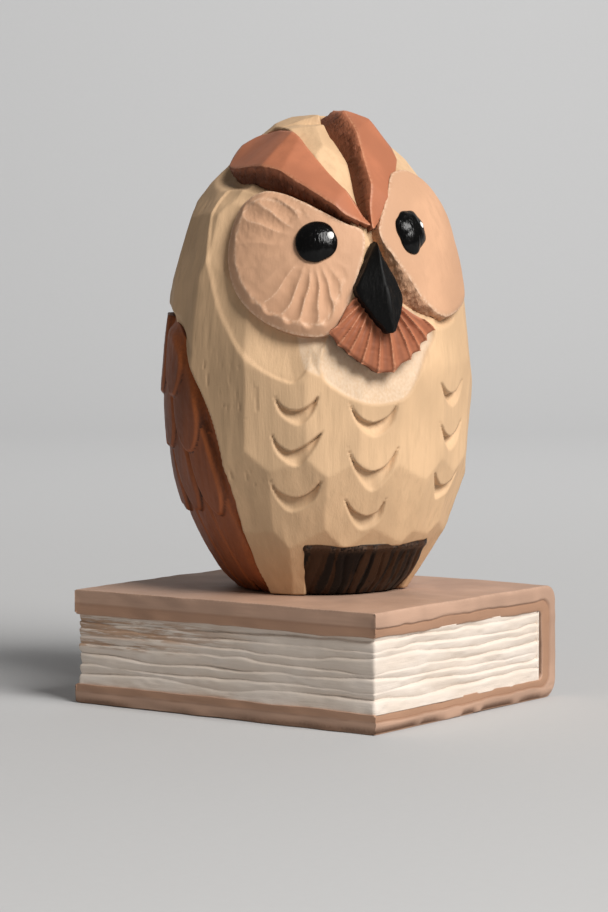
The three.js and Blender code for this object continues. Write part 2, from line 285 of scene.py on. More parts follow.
def pencil(chart, places, steps=8, closed=False):
    """A smooth line through places given as (turn in degrees, height in mm), on a map."""
    places = np.asarray(places, float)
    return through(chart.flat(np.radians(places[:, 0]), down_at(places[:, 1])), steps, closed)


def respaced(count, *loops):
    """Closed loops as count points each, evenly spaced on the first and opposite on the rest."""
    closed = [np.vstack([loop, loop[:1]]) for loop in loops]
    along = along_line(closed[0])
    at = np.linspace(0, along[-1], count, endpoint=False)
    return [np.stack([np.interp(at, along, loop[:, k]) for k in (0, 1)], -1) for loop in closed]


def near(flat, line, reach):
    """Which flat points are within reach mm of the box round a line."""
    low, high = line.min(0) - reach, line.max(0) + reach
    return np.all((flat > low) & (flat < high), -1)


def line_distance(flat, line, reach=12.0):
    """The distance in mm from each flat point to an open line, or reach where it is far."""
    best = np.full(flat.shape[:-1], float(reach))
    close = near(flat, line, reach)
    some = flat[close]
    found = np.full(len(some), float(reach))
    for a, b in zip(line[:-1], line[1:]):
        ab = b - a
        t = np.clip(((some - a) @ ab) / max(ab @ ab, 1e-12), 0, 1)
        gap = some - a - t[:, None] * ab
        found = np.minimum(found, np.hypot(gap[:, 0], gap[:, 1]))
    best[close] = found
    return best


def inside(flat, loop, reach=12.0):
    """The distance in mm from each flat point to a closed loop, positive inside it."""
    closed = np.vstack([loop, loop[:1]])
    within = np.zeros(flat.shape[:-1], bool)
    close = near(flat, closed, reach)
    x, y = flat[close].T
    odd = np.zeros(len(x), bool)
    for (ax, ay), (bx, by) in zip(closed[:-1], closed[1:]):
        crosses = (ay > y) != (by > y)
        odd ^= crosses & (x < (bx - ax) * (y - ay) / (by - ay + 1e-12) + ax)
    within[close] = odd
    return np.where(within, 1, -1) * line_distance(flat, closed, reach)


# %% [markdown]
# ## Knife facets
#
# A rounded block that was whittled isn't smooth: each stroke leaves a flat face, and two strokes
# meet in a soft ridge. Flat faces are planes that touch the egg. Seen from the middle of the
# block, the skin lies at the nearest plane. A soft minimum rounds the ridges a little, as sanding
# and paint do. The body and the brows each have planes of their own.

# %% Planes that whittle the egg
MIDDLE = np.array([0.0, 0.0, 45.0])
RIDGE_SOFTNESS = 0.045
LEAST_FACING = 0.3


def planes_at(turns, downs, bites):
    """Planes that touch the egg at these places, each moved in by its bite in mm."""
    normals = skin_normal(turns, downs)
    return normals, np.sum(normals * (skin(turns, downs) - MIDDLE), -1) - bites


def strokes(rows, seed):
    """Knife planes from rows of (height, planes round the owl, depth of cut in mm)."""
    made = []
    for row, (height, count, bite) in enumerate(rows):
        stagger = 0.5 * (row % 2)
        turns = 2 * pi * (np.arange(count) + stagger + 0.22 * scatter(count, seed + row)) / count
        downs = down_at(height + 1.6 * scatter(count, seed + 31 + row))
        bites = bite * (1 + 0.5 * scatter(count, seed + 57 + row))
        made.append(planes_at(turns, downs, bites))
    normals, offsets = zip(*made)
    return np.vstack(normals), np.concatenate(offsets)


def whittle(turn, down, planes, ridge=RIDGE_SOFTNESS):
    """How far in mm the knife planes move the skin. Planes seen too much from the side are out."""
    normals, offsets = planes
    ray = skin(turn, down) - MIDDLE
    length = np.linalg.norm(ray, axis=-1)
    shape = length.shape
    facing = ray.reshape(-1, 3) / length.reshape(-1, 1)
    along = facing @ normals.T
    reach = np.where(along > LEAST_FACING, offsets / np.maximum(along, LEAST_FACING), 1e3)
    nearest = reach.min(1)
    soft = nearest - ridge * np.log(np.exp((nearest[:, None] - reach) / ridge).sum(1))
    return soft.reshape(shape) - length


def with_stroke(planes, turn, height, bite):
    """The planes and one more, for a broad cut at a chosen place."""
    normal, offset = planes_at(np.radians([turn]), down_at([height]), bite)
    return np.vstack([planes[0], normal]), np.append(planes[1], offset)


BODY_STROKES = strokes([(6, 15, 0.15), (19, 17, 0.25), (36, 17, 0.25), (53, 15, 0.3),
                        (67, 12, 0.4), (79, 10, 0.5), (88, 7, 0.8), (92.6, 3, 0.9)], 11)
BODY_STROKES = with_stroke(BODY_STROKES, -86, 85, 1.3)
print("knife planes on the body:", len(BODY_STROKES[1]))

# %% [markdown]
# ## Plates on the skin
#
# Eye discs, brows, wings, tail, bib and foot panel are all plates that stand on the skin. Each
# has a crest, the loop round its face, and a foot, the loop where its side wall goes into the
# block. Where the foot lies outside the crest the wall slopes, as a knife leaves it. A relief
# function says how far each point of the face stands above the skin.

# %% The plate maker
def plate(name, chart, crest, foot, relief, sunk, rows, roughness=0.12, seed=1, wall_paint_and_shade=0.6):
    """A plate from its face, its rough wall and an underside that follows the skin."""
    centre = crest.mean(0)
    reach = np.concatenate([np.linspace(0, 0.97, rows)[1:], [0.982, 0.992, 1]])[:, None, None]
    face = centre + reach * (crest - centre)
    height, marks = relief(face)
    top = skin(*chart.place(face), height)

    depth = np.concatenate([[0.03, 0.08], np.linspace(0.15, 1, 12)])[:, None]
    wall = crest + depth[..., None] * (foot - crest)
    level = height[-1] * (1 - depth) - sunk * depth
    outward = crest - centre
    outward = outward / np.linalg.norm(outward, axis=1)[:, None]
    side = skin(*chart.place(wall), level)
    upright = side[:1] + 0 * side
    ribs = bumps(upright, 0.5, seed + 2) + 0.6 * bumps(upright, 0.9, seed + 3)
    torn = 0.7 * bumps(side, 1.3, seed) + 0.7 * bumps(side, 0.5, seed + 1) + 0.7 * ribs
    mid = np.sin(pi * np.minimum(depth * 1.2 + 0.03, 1))
    push = roughness * torn * mid
    crumbled = level + 0.5 * roughness * mid * bumps(side, (0.8, 0.8, 0.4), seed + 4)
    side = skin(*chart.place(wall + push[..., None] * outward), crumbled)

    back = np.linspace(1, 0, 6)[1:-1, None, None]
    under = skin(*chart.place(centre + back * (foot - centre)), -sunk)
    rings = np.concatenate([top, side, under])
    rings[..., 2] = np.maximum(rings[..., 2], 0)

    columns = np.ones((1, len(crest)))
    # The wall's cut mark darkens it: partly paint soaked into the torn grain, partly painted shade for
    # the shadow in the recessed wall.
    wall_marks = {"cut": wall_paint_and_shade * ease(depth + 0.12 * torn, 0, 0.4) * columns,
                  "wall": ease(depth, 0, 0.1) * columns}
    all_marks = {}
    for mark in set(marks) | set(wall_marks):
        on_face = marks.get(mark, np.zeros(face.shape[:-1]))
        on_wall = wall_marks.get(mark, np.zeros_like(level))
        all_marks[mark] = np.concatenate([on_face, on_wall, np.ones(under.shape[:-1])])
    first = skin(*chart.place(centre), relief(centre[None, None])[0][0, 0])
    last = skin(*chart.place(centre), -sunk)
    return ring_solid(name, rings, first, last, all_marks)


def grown(loop, by):
    """The loop moved outwards, by a distance in mm."""
    ahead, behind = np.roll(loop, -1, 0), np.roll(loop, 1, 0)
    along = (ahead - behind) / np.linalg.norm(ahead - behind, axis=1)[:, None]
    outward = np.stack([along[:, 1], -along[:, 0]], -1)
    area = np.sum(loop[:, 0] * ahead[:, 1] - loop[:, 1] * ahead[:, 0])
    return loop + outward * by * np.sign(area)


# %% [markdown]
# ## The outlines
#
# Each outline is a loop of places on the skin: (turn in degrees, height in mm). They were laid
# out once, and everything else follows them: the plates, the channels cut round them and the
# seats under them. A brow has two loops, because its dark wall slopes out on one side.

# %% Outlines of the head
LEFT_DISC = pencil(FACE_MAP, [(-17, 51.2), (-9, 59.9), (-4, 68.6), (-12.5, 71), (-30, 74.8),
                              (-42, 76.8), (-52, 76.9), (-61, 74), (-62.5, 66), (-56, 58.2),
                              (-43.5, 52.6), (-28, 49.9)], 12, closed=True)
RIGHT_DISC = pencil(FACE_MAP, [(0.8, 69.2), (5.2, 62.8), (9, 57.4), (15, 54.8), (27, 52.6),
                               (38, 53.6), (48, 56.2), (52.5, 61), (54, 67), (57, 72.5),
                               (54, 77.5), (45, 80.2), (33, 81.4), (20, 80.6), (12, 77.5),
                               (5, 73.2)], 12, closed=True)
RIGHT_DISC_CREST = pencil(FACE_MAP, [(1.8, 68.6), (7.2, 64), (12.6, 60.2), (18.6, 56.2),
                                     (28.5, 53.4), (38, 54.1), (47.6, 56.6), (52, 61.2),
                                     (53.4, 67), (56.4, 72.4), (53.6, 77.1), (44.8, 79.7),
                                     (33, 80.8), (20.4, 80), (12.6, 77), (6, 73)], 12, closed=True)
LEFT_INNER_KNOTS = [(-3.6, 71.7), (-8.6, 75.4), (-17, 80.2), (-28, 84.6), (-40, 87.5),
                    (-62, 89.6), (-84, 90.2), (-108, 89.4)]
LEFT_BROW_CREST = pencil(CROWN_MAP, [
    (-1.8, 70.1), (-8, 71.1), (-13, 72.1), (-18, 73.7), (-25, 75.8), (-33, 77.8), (-44, 79.8),
    (-56, 81), (-71, 81.7), (-84, 81.8), (-98, 82.6), (-110, 85.8)] + LEFT_INNER_KNOTS[::-1],
    12, True)
LEFT_BROW_FOOT = pencil(CROWN_MAP, [
    (-1.4, 69.7), (-8, 70.8), (-12.7, 71.6), (-17.6, 73), (-24.4, 74.6), (-32.5, 76.1),
    (-43, 77.6), (-55, 78.6), (-70, 79.7), (-84, 80.5), (-100, 81.8), (-114, 85.4), (-111, 90.1),
    (-84, 90.9), (-62, 90.2), (-40, 88), (-28, 85), (-17, 80.6), (-8.4, 75.8), (-3, 71.9)],
    12, True)
RIGHT_RIDGE_KNOTS = [(-0.8, 69.6), (-0.9, 71.5), (-0.4, 74), (1.8, 77), (3.2, 80.7), (4.4, 83.1),
                     (7, 86.2), (10, 88.6), (14, 90.4), (31, 92), (66, 92.55), (103, 92.45)]
RIGHT_OUTER_KNOTS = [(1.5, 70.3), (6.7, 72.7), (14.5, 76.2), (22.5, 79.4), (32, 82.2),
                     (49, 85.2), (54, 86.9), (62, 89.2), (84, 91.4)]
RIGHT_BROW_CREST = pencil(CROWN_MAP, RIGHT_RIDGE_KNOTS + RIGHT_OUTER_KNOTS[::-1], 12, True)
RIGHT_WALL_KNOTS = [(-3.8, 75), (-3.8, 77.6), (-3.4, 80.8), (-3.2, 83.2), (-4, 86.3), (-6, 88.5),
                    (-10, 90.4), (-20, 92.3), (-100, 92.95)]
RIGHT_BROW_FOOT = pencil(CROWN_MAP, [(-1.8, 69.7), (-3.0, 72)] + RIGHT_WALL_KNOTS + [
    (140, 92.5), (94, 91.3), (66, 89.1), (57, 86.7), (51.5, 84.9), (33.5, 81.9), (23.5, 79.1),
    (15.3, 75.9), (7.2, 72.4), (1.6, 69.9)], 12, True)

# %% Outlines of the body
BIB_RIM = [(-16, 52.1), (-19, 50.8), (-17, 48.9), (-14, 47.4), (-11, 46), (-7, 44.6), (-3, 43.3),
           (1, 43.1), (4, 43.6), (8, 44.9), (11, 46.1), (14, 47.2), (17, 49.1), (21, 51.3)]
BIB_TOP = [(14, 53.6), (9, 55.6), (2, 60), (-5, 59.4), (-11, 56.3), (-14, 54.1)]
BIB = pencil(FACE_MAP, BIB_RIM + BIB_TOP, 10, closed=True)
WING_OUTLINE = [(-61, -4), (-56.5, 6), (-57.5, 15), (-59.5, 24), (-65, 34), (-73, 42),
                (-82, 47.6), (-92, 51.6), (-106, 53.4), (-120, 53.8), (-136, 52.8), (-150, 50.4),
                (-161, 47), (-166, 40), (-163.5, 30), (-160, 20), (-157, 8), (-156, -4)]
LEFT_WING_MAP, RIGHT_WING_MAP = LabelMap(28, -110), LabelMap(28, 110, side=-1)
TAIL_MAP = LabelMap(26, 180)
WING = pencil(LEFT_WING_MAP, WING_OUTLINE, 10, closed=True)
TAIL = pencil(TAIL_MAP, [(-202, -4), (-204, 8), (-200, 20), (-190, 27), (-180, 29), (-170, 27),
                         (-160, 20), (-156, 8), (-158, -4)], 10, closed=True)


def straight_sided(chart, places, gap=0.4):
    """A loop with straight sides between its corners."""
    places = np.asarray(places, float)
    corners = chart.flat(np.radians(places[:, 0]), down_at(places[:, 1]))
    loop = []
    for a, b in zip(corners, np.roll(corners, -1, 0)):
        count = max(2, int(np.linalg.norm(b - a) / gap))
        loop.append(a + (b - a) * np.linspace(0, 1, count, endpoint=False)[:, None])
    return np.vstack(loop)


FOOT_PANEL = straight_sided(BELLY_MAP, [(-33, -3), (-31, 5), (-30, 10.5), (-13, 10.3), (4, 9.9),
                                        (22, 10.2), (39, 10.7), (44, 5.5), (52, -3)])
print("outlines drawn:", sum(len(loop) for loop in (LEFT_DISC, RIGHT_DISC, BIB, WING, TAIL)))

# %% [markdown]
# ## The body
#
# The body is the whittled egg with everything cut into it. Each cut is a small formula of the
# distance to a pencil line: a channel that falls towards the left eye disc, a trough between the
# brows, a scoop under the bib, and nine crescents that stand for breast feathers. A crescent is
# two cuts of a gouge: a steep stop cut along the upper arc, and a ramp that rises from it.

# %% Crescents
CRESCENT_DEPTH = 1.6
CRESCENTS = []
LEFT_COLUMN = [((-39.5, 39.1), (-36.6, 36.9), (-32, 36.0), (-27, 36.9), (-22.6, 39.2), (-30, 33.2)),
               ((-41, 32.3), (-38, 29.5), (-33, 28.4), (-27, 29.9), (-21, 32.4), (-31, 25.4)),
               ((-42, 23.8), (-39.5, 20.8), (-33.5, 19.3), (-27, 20.2), (-21.5, 23.2), (-34, 16.4))]
MIDDLE_COLUMN = [((-12.6, 38.2), (-8.5, 34.9), (-3, 33.7), (3, 34.8), (7, 37.6), (-2, 30.9)),
                 ((-13, 29.6), (-9, 26), (-3.5, 24.5), (3, 25.6), (8, 29.6), (-2, 20.5)),
                 ((-13.5, 19.9), (-9, 16.9), (-3.6, 15.7), (1.8, 16.5), (5, 19.2), (-4, 13))]
RIGHT_COLUMN = [((26, 41.4), (30, 39.6), (35, 38.7), (40, 39.2), (45, 41.6), (36, 36)),
                ((27, 33.6), (31, 31.4), (35.4, 30.4), (40, 31), (46, 33.8), (36, 27.6)),
                ((26, 24.2), (30, 22.2), (34, 20.9), (39, 21.2), (45, 24.2), (33, 18.2))]
for *arc, ramp_end in LEFT_COLUMN + MIDDLE_COLUMN + RIGHT_COLUMN:
    below_left = (arc[1][0] - 0.3, arc[1][1] - 1.7)
    below_right = (arc[3][0] + 2.0, arc[3][1] - 1.5)
    ramp = [arc[0], below_left, ramp_end, below_right, arc[4]]
    CRESCENTS.append((pencil(BELLY_MAP, arc), pencil(BELLY_MAP, ramp)))
print("crescents:", len(CRESCENTS))


def crescent_cut(flat, stop_line, ramp_line):
    """A stop cut along one arc, and a ramp from its foot up to the other arc."""
    loop = np.vstack([stop_line, ramp_line[::-1]])
    within = inside(flat, loop, 4)
    from_stop = line_distance(flat, stop_line, 4)
    from_ramp = line_distance(flat, ramp_line, 4)
    slope = from_ramp / (from_stop + from_ramp + 1e-6)
    return CRESCENT_DEPTH * slope ** 0.6 * ease(within, -0.05, 0.3)


# %% Channels and scoops
CHANNEL_EDGE = [(-72, 80), (-76.5, 78.2), (-78, 75.8), (-76.5, 71), (-73.5, 66.2), (-69, 60.5),
                (-64, 54.9), (-59, 51.1), (-53, 47.1), (-45, 43.7), (-37, 41.6), (-31, 41.2)]
CHANNEL = pencil(FACE_MAP, CHANNEL_EDGE + [(-25, 45), (-18, 52), (-30, 66), (-50, 78)], 8, True)
FACET = straight_sided(FACE_MAP, [(-32.5, 52), (-30.5, 46.6), (-28.5, 43.6), (-22, 42),
                                  (-20.6, 48), (-19, 53)])
SCOOP = pencil(FACE_MAP, [(-22.5, 46), (-21.6, 42), (-17, 39.8), (-11, 38), (-4, 36.9),
                          (3, 37), (10, 38), (15, 41), (20, 46), (24, 51), (10, 56), (-15, 54)],
               8, True)
STRIPE_LEFT = pencil(CROWN_MAP, [(-3, 71.6), (-8.4, 75.6), (-16.6, 80.4), (-27.6, 84.8),
                                 (-40, 87.9), (-60, 90), (-90, 90.3)])
STRIPE_RIGHT = pencil(CROWN_MAP, [(-2.4, 71.6)] + RIGHT_WALL_KNOTS)
UNDER_BROW = pencil(CROWN_MAP, [(0, 70), (0.5, 75), (2, 80.8), (4, 83.2), (7, 86.3), (10, 88.5),
                                (14, 90.4), (20, 92.2)])
STRIPE = np.vstack([STRIPE_LEFT, UNDER_BROW[::-1]])


CHANNEL_STEP, CHANNEL_FALL = 0.3, 1.6
SCOOP_STEP, SCOOP_FALL = 0.35, 1.75
TROUGH_DEPTH = UNDER_BROW_DEPTH = 1.9
DISC_RIM_DEPTH = 1.0


def fall(from_edge, from_piece, slack):
    """0 at a cut's outer edge, 1 where it meets the piece that it falls towards."""
    return np.clip(from_edge / (from_edge + np.maximum(from_piece, 0) + slack), 0, 1)


def head_cuts(turn, down):
    """The depth in mm of the cuts on the head."""
    face, crown = FACE_MAP.flat(turn, down), CROWN_MAP.flat(turn, down)
    from_disc = -inside(face, LEFT_DISC)
    channel = inside(face, CHANNEL)
    ramp = CHANNEL_STEP * ease(channel, 0, 0.5) + CHANNEL_FALL * fall(channel, from_disc, 0.3) ** 0.9
    depth = np.where(channel > 0, ramp, 0)

    from_left, from_right = line_distance(crown, STRIPE_LEFT), line_distance(crown, STRIPE_RIGHT)
    across = from_left / (from_left + from_right + 0.05)
    trough = np.where(across < 0.42, 0.9 * across, 0.38 + 2.3 * (across - 0.42))
    beyond = inside(crown, np.vstack([STRIPE_RIGHT, UNDER_BROW[::-1]]))
    trough = np.where(beyond > 0, TROUGH_DEPTH, trough)
    depth += ease(inside(crown, STRIPE), -0.2, 0.3) * trough

    under_brow = line_distance(crown, LEFT_BROW_FOOT[24:128])
    depth = np.maximum(depth, UNDER_BROW_DEPTH * (1 - ease(under_brow, 0.6, 3.6)))
    from_right_disc = line_distance(face, RIGHT_DISC)
    round_disc = (1 - ease(from_right_disc, 0.3, 1.6)) * (np.degrees(turn) < 40)
    return np.maximum(depth, DISC_RIM_DEPTH * round_disc)


def belly_cuts(turn, down):
    """The depth in mm of the cuts on the front, and how pale and how freshly cut it is there."""
    face, belly = FACE_MAP.flat(turn, down), BELLY_MAP.flat(turn, down)
    from_bib = -inside(face, BIB)
    scoop = inside(face, SCOOP)
    ramp = SCOOP_STEP * ease(scoop, 0, 0.5) + SCOOP_FALL * fall(scoop, from_bib, 0.2)
    depth = np.where(scoop > 0, ramp, 0)
    facet = inside(face, FACET)
    depth = np.maximum(depth, np.clip(0.42 * facet, 0, 1.9))
    pale = np.maximum(ease(scoop, 0.1, 0.6), 0.8 * ease(facet, 0.1, 0.5))
    fresh = np.zeros(turn.shape)
    for stop_line, ramp_line in CRESCENTS:
        cut = crescent_cut(belly, stop_line, ramp_line)
        depth = np.maximum(depth, depth * (cut < 0.01) + cut)
        fresh = np.maximum(fresh, cut)
    return depth, pale, np.clip(fresh / CRESCENT_DEPTH, 0, 1)


# %% Seats under the plates
SEATS = [(FACE_MAP, LEFT_DISC, 2.9), (FACE_MAP, RIGHT_DISC, 2.9), (CROWN_MAP, LEFT_BROW_FOOT, 3.3),
         (CROWN_MAP, RIGHT_BROW_FOOT, 3.3), (FACE_MAP, BIB, 2.5), (LEFT_WING_MAP, WING, 3.8),
         (RIGHT_WING_MAP, WING, 3.8), (TAIL_MAP, TAIL, 3.8), (BELLY_MAP, FOOT_PANEL, 3.4)]


def seat_depth(turn, down):
    """Shallow pockets, a little narrower than the plates that cover them."""
    depth = np.zeros(turn.shape)
    for chart, loop, sunk in SEATS:
        rim = inside(chart.flat(turn, down), loop)
        depth = np.maximum(depth, sunk * ease(rim, 0.35, 1.5))
    return depth


def wing_shoulder(turn, down):
    """The body stands a little proud over each wing and is cut back along its top edge."""
    depth = np.zeros(turn.shape)
    for chart in (LEFT_WING_MAP, RIGHT_WING_MAP):
        rim = inside(chart.flat(turn, down), WING)
        upper = ease(height_at(down), 45, 50)
        depth = np.maximum(depth, upper * (1.5 * ease(rim, -2.6, -0.3) - 0.45 * ease(rim, -9, -2.6)))
    return depth


# %% The body's mesh
def uneven(length, count, busy):
    """count places from 0 to length, closer together where busy(place) is larger."""
    at = np.linspace(0, length, 2000)
    total = np.concatenate([[0], np.cumsum(busy(at[:-1] + at[1] / 2))])
    return np.interp(np.linspace(0, total[-1], count), total, at)


BODY_COLUMNS, BODY_ROWS = 440, 321
NICK_DEPTH = 0.2
NICKED_PATCHES = [([(-63, 44), (-52, 38)], 4), ([(-59, 24), (-47, 22.8)], 1.6)]


def carve_body():
    in_front = lambda t: 1 + 1.6 * ((t > pi - 2.0) & (t < pi + 1.75))
    turns = uneven(2 * pi, BODY_COLUMNS + 1, in_front)[:-1] - pi
    downs = uneven(SKIN_LENGTH, BODY_ROWS + 1, lambda s: 1 + 0.5 * ((s > 62) & (s < 118)))[1:]
    turn, down = np.meshgrid(turns, downs)
    place = skin(turn, down)
    facets = whittle(turn, down, BODY_STROKES)
    cuts, (belly, pale, fresh) = head_cuts(turn, down), belly_cuts(turn, down)
    seats = seat_depth(turn, down)
    rest = 0.1 * bumps(place, (3, 3, 9), 5) + 0.05 * bumps(place, (1.1, 1.1, 5), 6)
    torn = ease(bumps(place, (0.45, 0.45, 2.6), 8), 0.4, 0.8)
    nicks = np.zeros(turn.shape)
    for ends, width in NICKED_PATCHES:
        away = line_distance(BELLY_MAP.flat(turn, down), pencil(BELLY_MAP, ends))
        nicks += NICK_DEPTH * torn * (away < width)
    level = facets + rest - np.maximum(cuts, belly) - nicks - wing_shoulder(turn, down) - seats
    points = skin(turn, down, level)
    points[..., 2] = np.maximum(points[..., 2], 0)
    # Darker colour in the seats round the plates and deep in each crescent's stop cut: partly paint
    # pooled in the cuts, partly painted shade where the plates and the stop cuts throw shadow.
    stop_cut_paint_and_shade = 0.75 * ease(fresh, 0.78, 0.93)
    marks = {"pale": pale, "cut": np.maximum(ease(seats, 0.05, 0.8), stop_cut_paint_and_shade), "fresh": fresh}
    base = points[-1]
    inwards = np.linspace(1, 0, 7)[1:-1, None, None]
    under = base * inwards * [1, 1, 0]
    rings = np.concatenate([points, under])
    marks = {mark: np.concatenate([values, np.zeros(under.shape[:-1])])
             for mark, values in marks.items()}
    crown = skin(np.zeros(1), np.zeros(1), level[0].mean())[0]
    return ring_solid("owl_body_carved", rings, crown, [0, 0, 0], marks)


owl_body = carve_body()
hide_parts("owl_body")

# %% [markdown]
# ## Eye discs
#
# The left disc is worked all over with a gouge. Its strokes run out from the eye: tear-shaped
# flutes below with rounded ends, broad shallow ones elsewhere, and a band cut at an angle round
# the rim. The right disc was left almost smooth. Each flute is a hollow between two ridge angles.

# %% The gouged disc
LEFT_EYE, RIGHT_EYE = (-24, 67.3), (16, 69.4)
DISC_PROUD, DISC_SUNK = 1.25, 2.4
RIDGE_ANGLES = np.radians([-212, -196, -178, -160, -141, -127, -112, -100, -88, -76, -62, -44,
                           -22, 6, 34, 52, 70, 88, 106, 126, 148])
FLUTE_DEPTH = 0.66
FLUTE_SHARES = np.array([.55, .3, .2, .1, .35, .8, .9, .9, .75, .5, .3, .2,
                         .2, .3, .4, .45, .5, .5, .6, .7, .6])


def hollows(angle, ridges):
    """0 on the ridges, 1 midway between them, and each hollow's number."""
    ridges = np.append(ridges, ridges[0] + 2 * pi)
    turned = (angle - ridges[0]) % (2 * pi) + ridges[0]
    slot = np.clip(np.searchsorted(ridges, turned) - 1, 0, len(ridges) - 2)
    u = (turned - ridges[slot]) / (ridges[slot + 1] - ridges[slot])
    return 1 - (2 * u - 1) ** 2, slot


def left_disc_relief(face):
    eye = FACE_MAP.flat(radians(LEFT_EYE[0]), down_at(LEFT_EYE[1]))
    away = face - eye
    angle = np.arctan2(away[..., 1], away[..., 0])
    far = np.hypot(away[..., 0], away[..., 1])
    rim = inside(face, LEFT_DISC)
    hollow, slot = hollows(angle + 0.05 * bumps(np.dstack([face, far]), 4, 21), RIDGE_ANGLES)
    deep = FLUTE_SHARES[slot]
    stop = 2.2 + 1.5 * (1 - hollow)
    gouge = FLUTE_DEPTH * deep * hollow * ease(far, 3.8, 10) * ease(rim, stop - 0.8, stop)
    up_left = ease(-away[..., 0] * 0.45 + away[..., 1], 3.5, 7)
    rough = np.dstack([face, far])
    scallops = up_left * (0.06 * np.abs(bumps(rough, (1.6, 1.6, 5), 23)) + 0.05 * bumps(rough, 0.6, 24))
    low_left = ease(-away[..., 0] - 0.6 * away[..., 1], -3, 3)
    bevel = (0.25 + 0.95 * low_left) * np.clip((2.2 - rim) / 2.2, 0, 1)
    flat_face = 0.45 * np.clip(1 - ((far - 3) / 14) ** 2, 0, 1)
    height = DISC_PROUD - flat_face - gouge - scallops - bevel * 0.9
    height += 0.05 * bumps(rough, 1.4, 25)
    lip = np.exp(-((rim - 0.1) / 0.35) ** 2) + 0.7 * np.exp(-((rim - 2.2) / 0.3) ** 2) * low_left
    lip += (1 - ease(hollow, 0.0, 0.25)) * (deep > 0.4) * ease(far, 4.5, 7) * ease(rim, 1.8, 2.6)
    # The gouges are darkened: partly paint pooled in them, partly painted shade in the hollows. The
    # rubbed lips are lighter.
    return height, {"cut": gouge * 0.35, "lip": np.clip(lip, 0, 1)}


def right_disc_relief(face):
    rim = inside(face, RIGHT_DISC_CREST)
    rough = np.dstack([face, rim])
    height = DISC_PROUD - 0.3 * np.clip((1.1 - rim) / 1.1, 0, 1) ** 2 + 0.09 * bumps(rough, 4.5, 31)
    towards_beak = ease(-face[..., 0] - 0.5 * (face[..., 1] + down_at(62)), -9, -2)
    height += 0.75 * (1 - ease(rim, 0, 8)) * towards_beak
    height += 0.04 * bumps(rough, 1.3, 32)
    return height, {"cut": 0 * rim, "lip": np.exp(-(rim / 0.4) ** 2)}


crest, = respaced(300, LEFT_DISC)
left_face_disc = plate("left_face_disc_carved", FACE_MAP, crest, grown(crest, 0.25),
                       left_disc_relief, DISC_SUNK, 52, 0.22, 41, 0.35)
crest, foot = respaced(300, RIGHT_DISC_CREST, RIGHT_DISC)
right_face_disc = plate("right_face_disc_carved", FACE_MAP, crest, grown(foot, 0.1),
                        right_disc_relief, DISC_SUNK, 44, 0.4, 43, 0.35)
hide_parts("left_face_disc")
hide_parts("right_face_disc")

# %% [markdown]
# ## Brows
#
# The brows are the boldest cuts. Their tops are a few long flat knife faces, and on one side each
# ends in a steep wall of torn end grain, where the knife levered the waste out. The torn wall is
# painted very dark: partly paint that soaked into the torn grain, partly painted shade for the
# shadow the wall sits in. Knife planes like the body's, but fewer and wider, make the flat faces.

# %% Brow reliefs
BROW_STROKES = strokes([(74, 12, 0.3), (84, 9, 0.6), (90.5, 5, 0.9)], 77)
BROW_STROKES = with_stroke(BROW_STROKES, -84, 84.5, 2.2)
LEFT_INNER = pencil(CROWN_MAP, LEFT_INNER_KNOTS)
LEFT_LOWER = pencil(CROWN_MAP, [(-1.8, 70.1), (-8, 71.1), (-13, 72.1), (-18, 73.7), (-25, 75.8),
                                (-33, 77.8), (-44, 79.8), (-56, 81), (-71, 81.7), (-84, 81.8),
                                (-98, 82.4), (-110, 85.8)])
RIGHT_RIDGE = pencil(CROWN_MAP, RIGHT_RIDGE_KNOTS)
RIGHT_OUTER = pencil(CROWN_MAP, RIGHT_OUTER_KNOTS)


def brow_relief(high_edge, low_edge, high, low, tail, seed):
    """A top that slopes from its high edge to its low edge, in flat knife faces."""
    def relief(face):
        turn, down = CROWN_MAP.place(face)
        from_high, from_low = line_distance(face, high_edge, 20), line_distance(face, low_edge, 20)
        across = from_high / (from_high + from_low + 0.01)
        height = high + (low - high) * across
        nose = ease(down, down_at(76), down_at(70))
        height = height * (1 - 0.3 * nose) - tail * ease(-np.degrees(turn), 66, 108)
        height -= 0.8 * (1 - ease(down, 2, 11)) * (low >= 1)
        rough = np.dstack([face, across])
        height += whittle(turn, down, BROW_STROKES, 0.06) + 0.05 * bumps(rough, (2.5, 2.5, 1), seed)
        edge = np.minimum(from_high, from_low)
        rubbed = np.exp(-(from_high / 0.45) ** 2) + 0.5 * np.exp(-(from_low / 0.35) ** 2)
        height -= 0.12 * np.exp(-(edge / 0.3) ** 2)
        return height, {"cut": 0 * height, "lip": np.clip(rubbed, 0, 1)}
    return relief


crest, foot = respaced(300, LEFT_BROW_CREST, LEFT_BROW_FOOT)
left_brow = plate("left_brow_carved", CROWN_MAP, crest, foot,
                  brow_relief(LEFT_LOWER, LEFT_INNER, 2.3, 0.85, 0.3, 51), 3.0, 34, 0.8, 53, 0.95)
crest, foot = respaced(300, RIGHT_BROW_CREST, RIGHT_BROW_FOOT)
right_brow = plate("right_brow_carved", CROWN_MAP, crest, foot,
                   brow_relief(RIGHT_RIDGE, RIGHT_OUTER, 2.3, 1.0, 0.0, 55), 3.0, 34, 0.55, 57, 0.95)
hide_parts("left_brow")
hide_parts("right_brow")

# %% [markdown]
# ## The bib under the beak
#
# A fan of small gouge flutes runs out from under the beak. Between two flutes the wood stays as a
# sharp ridge, which is painted pale: partly rubbed paint, partly a painted highlight. The flutes are
# darker, partly pooled paint and partly painted shade, and the rim is nicked where each flute runs
# out. The side wall is undercut and full of shadow, and its dark paint is partly painted shade.

# %% The fluted bib
BIB_APEX = FACE_MAP.flat(0.0, down_at(59.5))
BIB_FLUTES = 13
BIB_TURNS = np.linspace(radians(202), radians(340), BIB_FLUTES + 1) \
    + 0.03 * scatter(BIB_FLUTES + 1, 61)


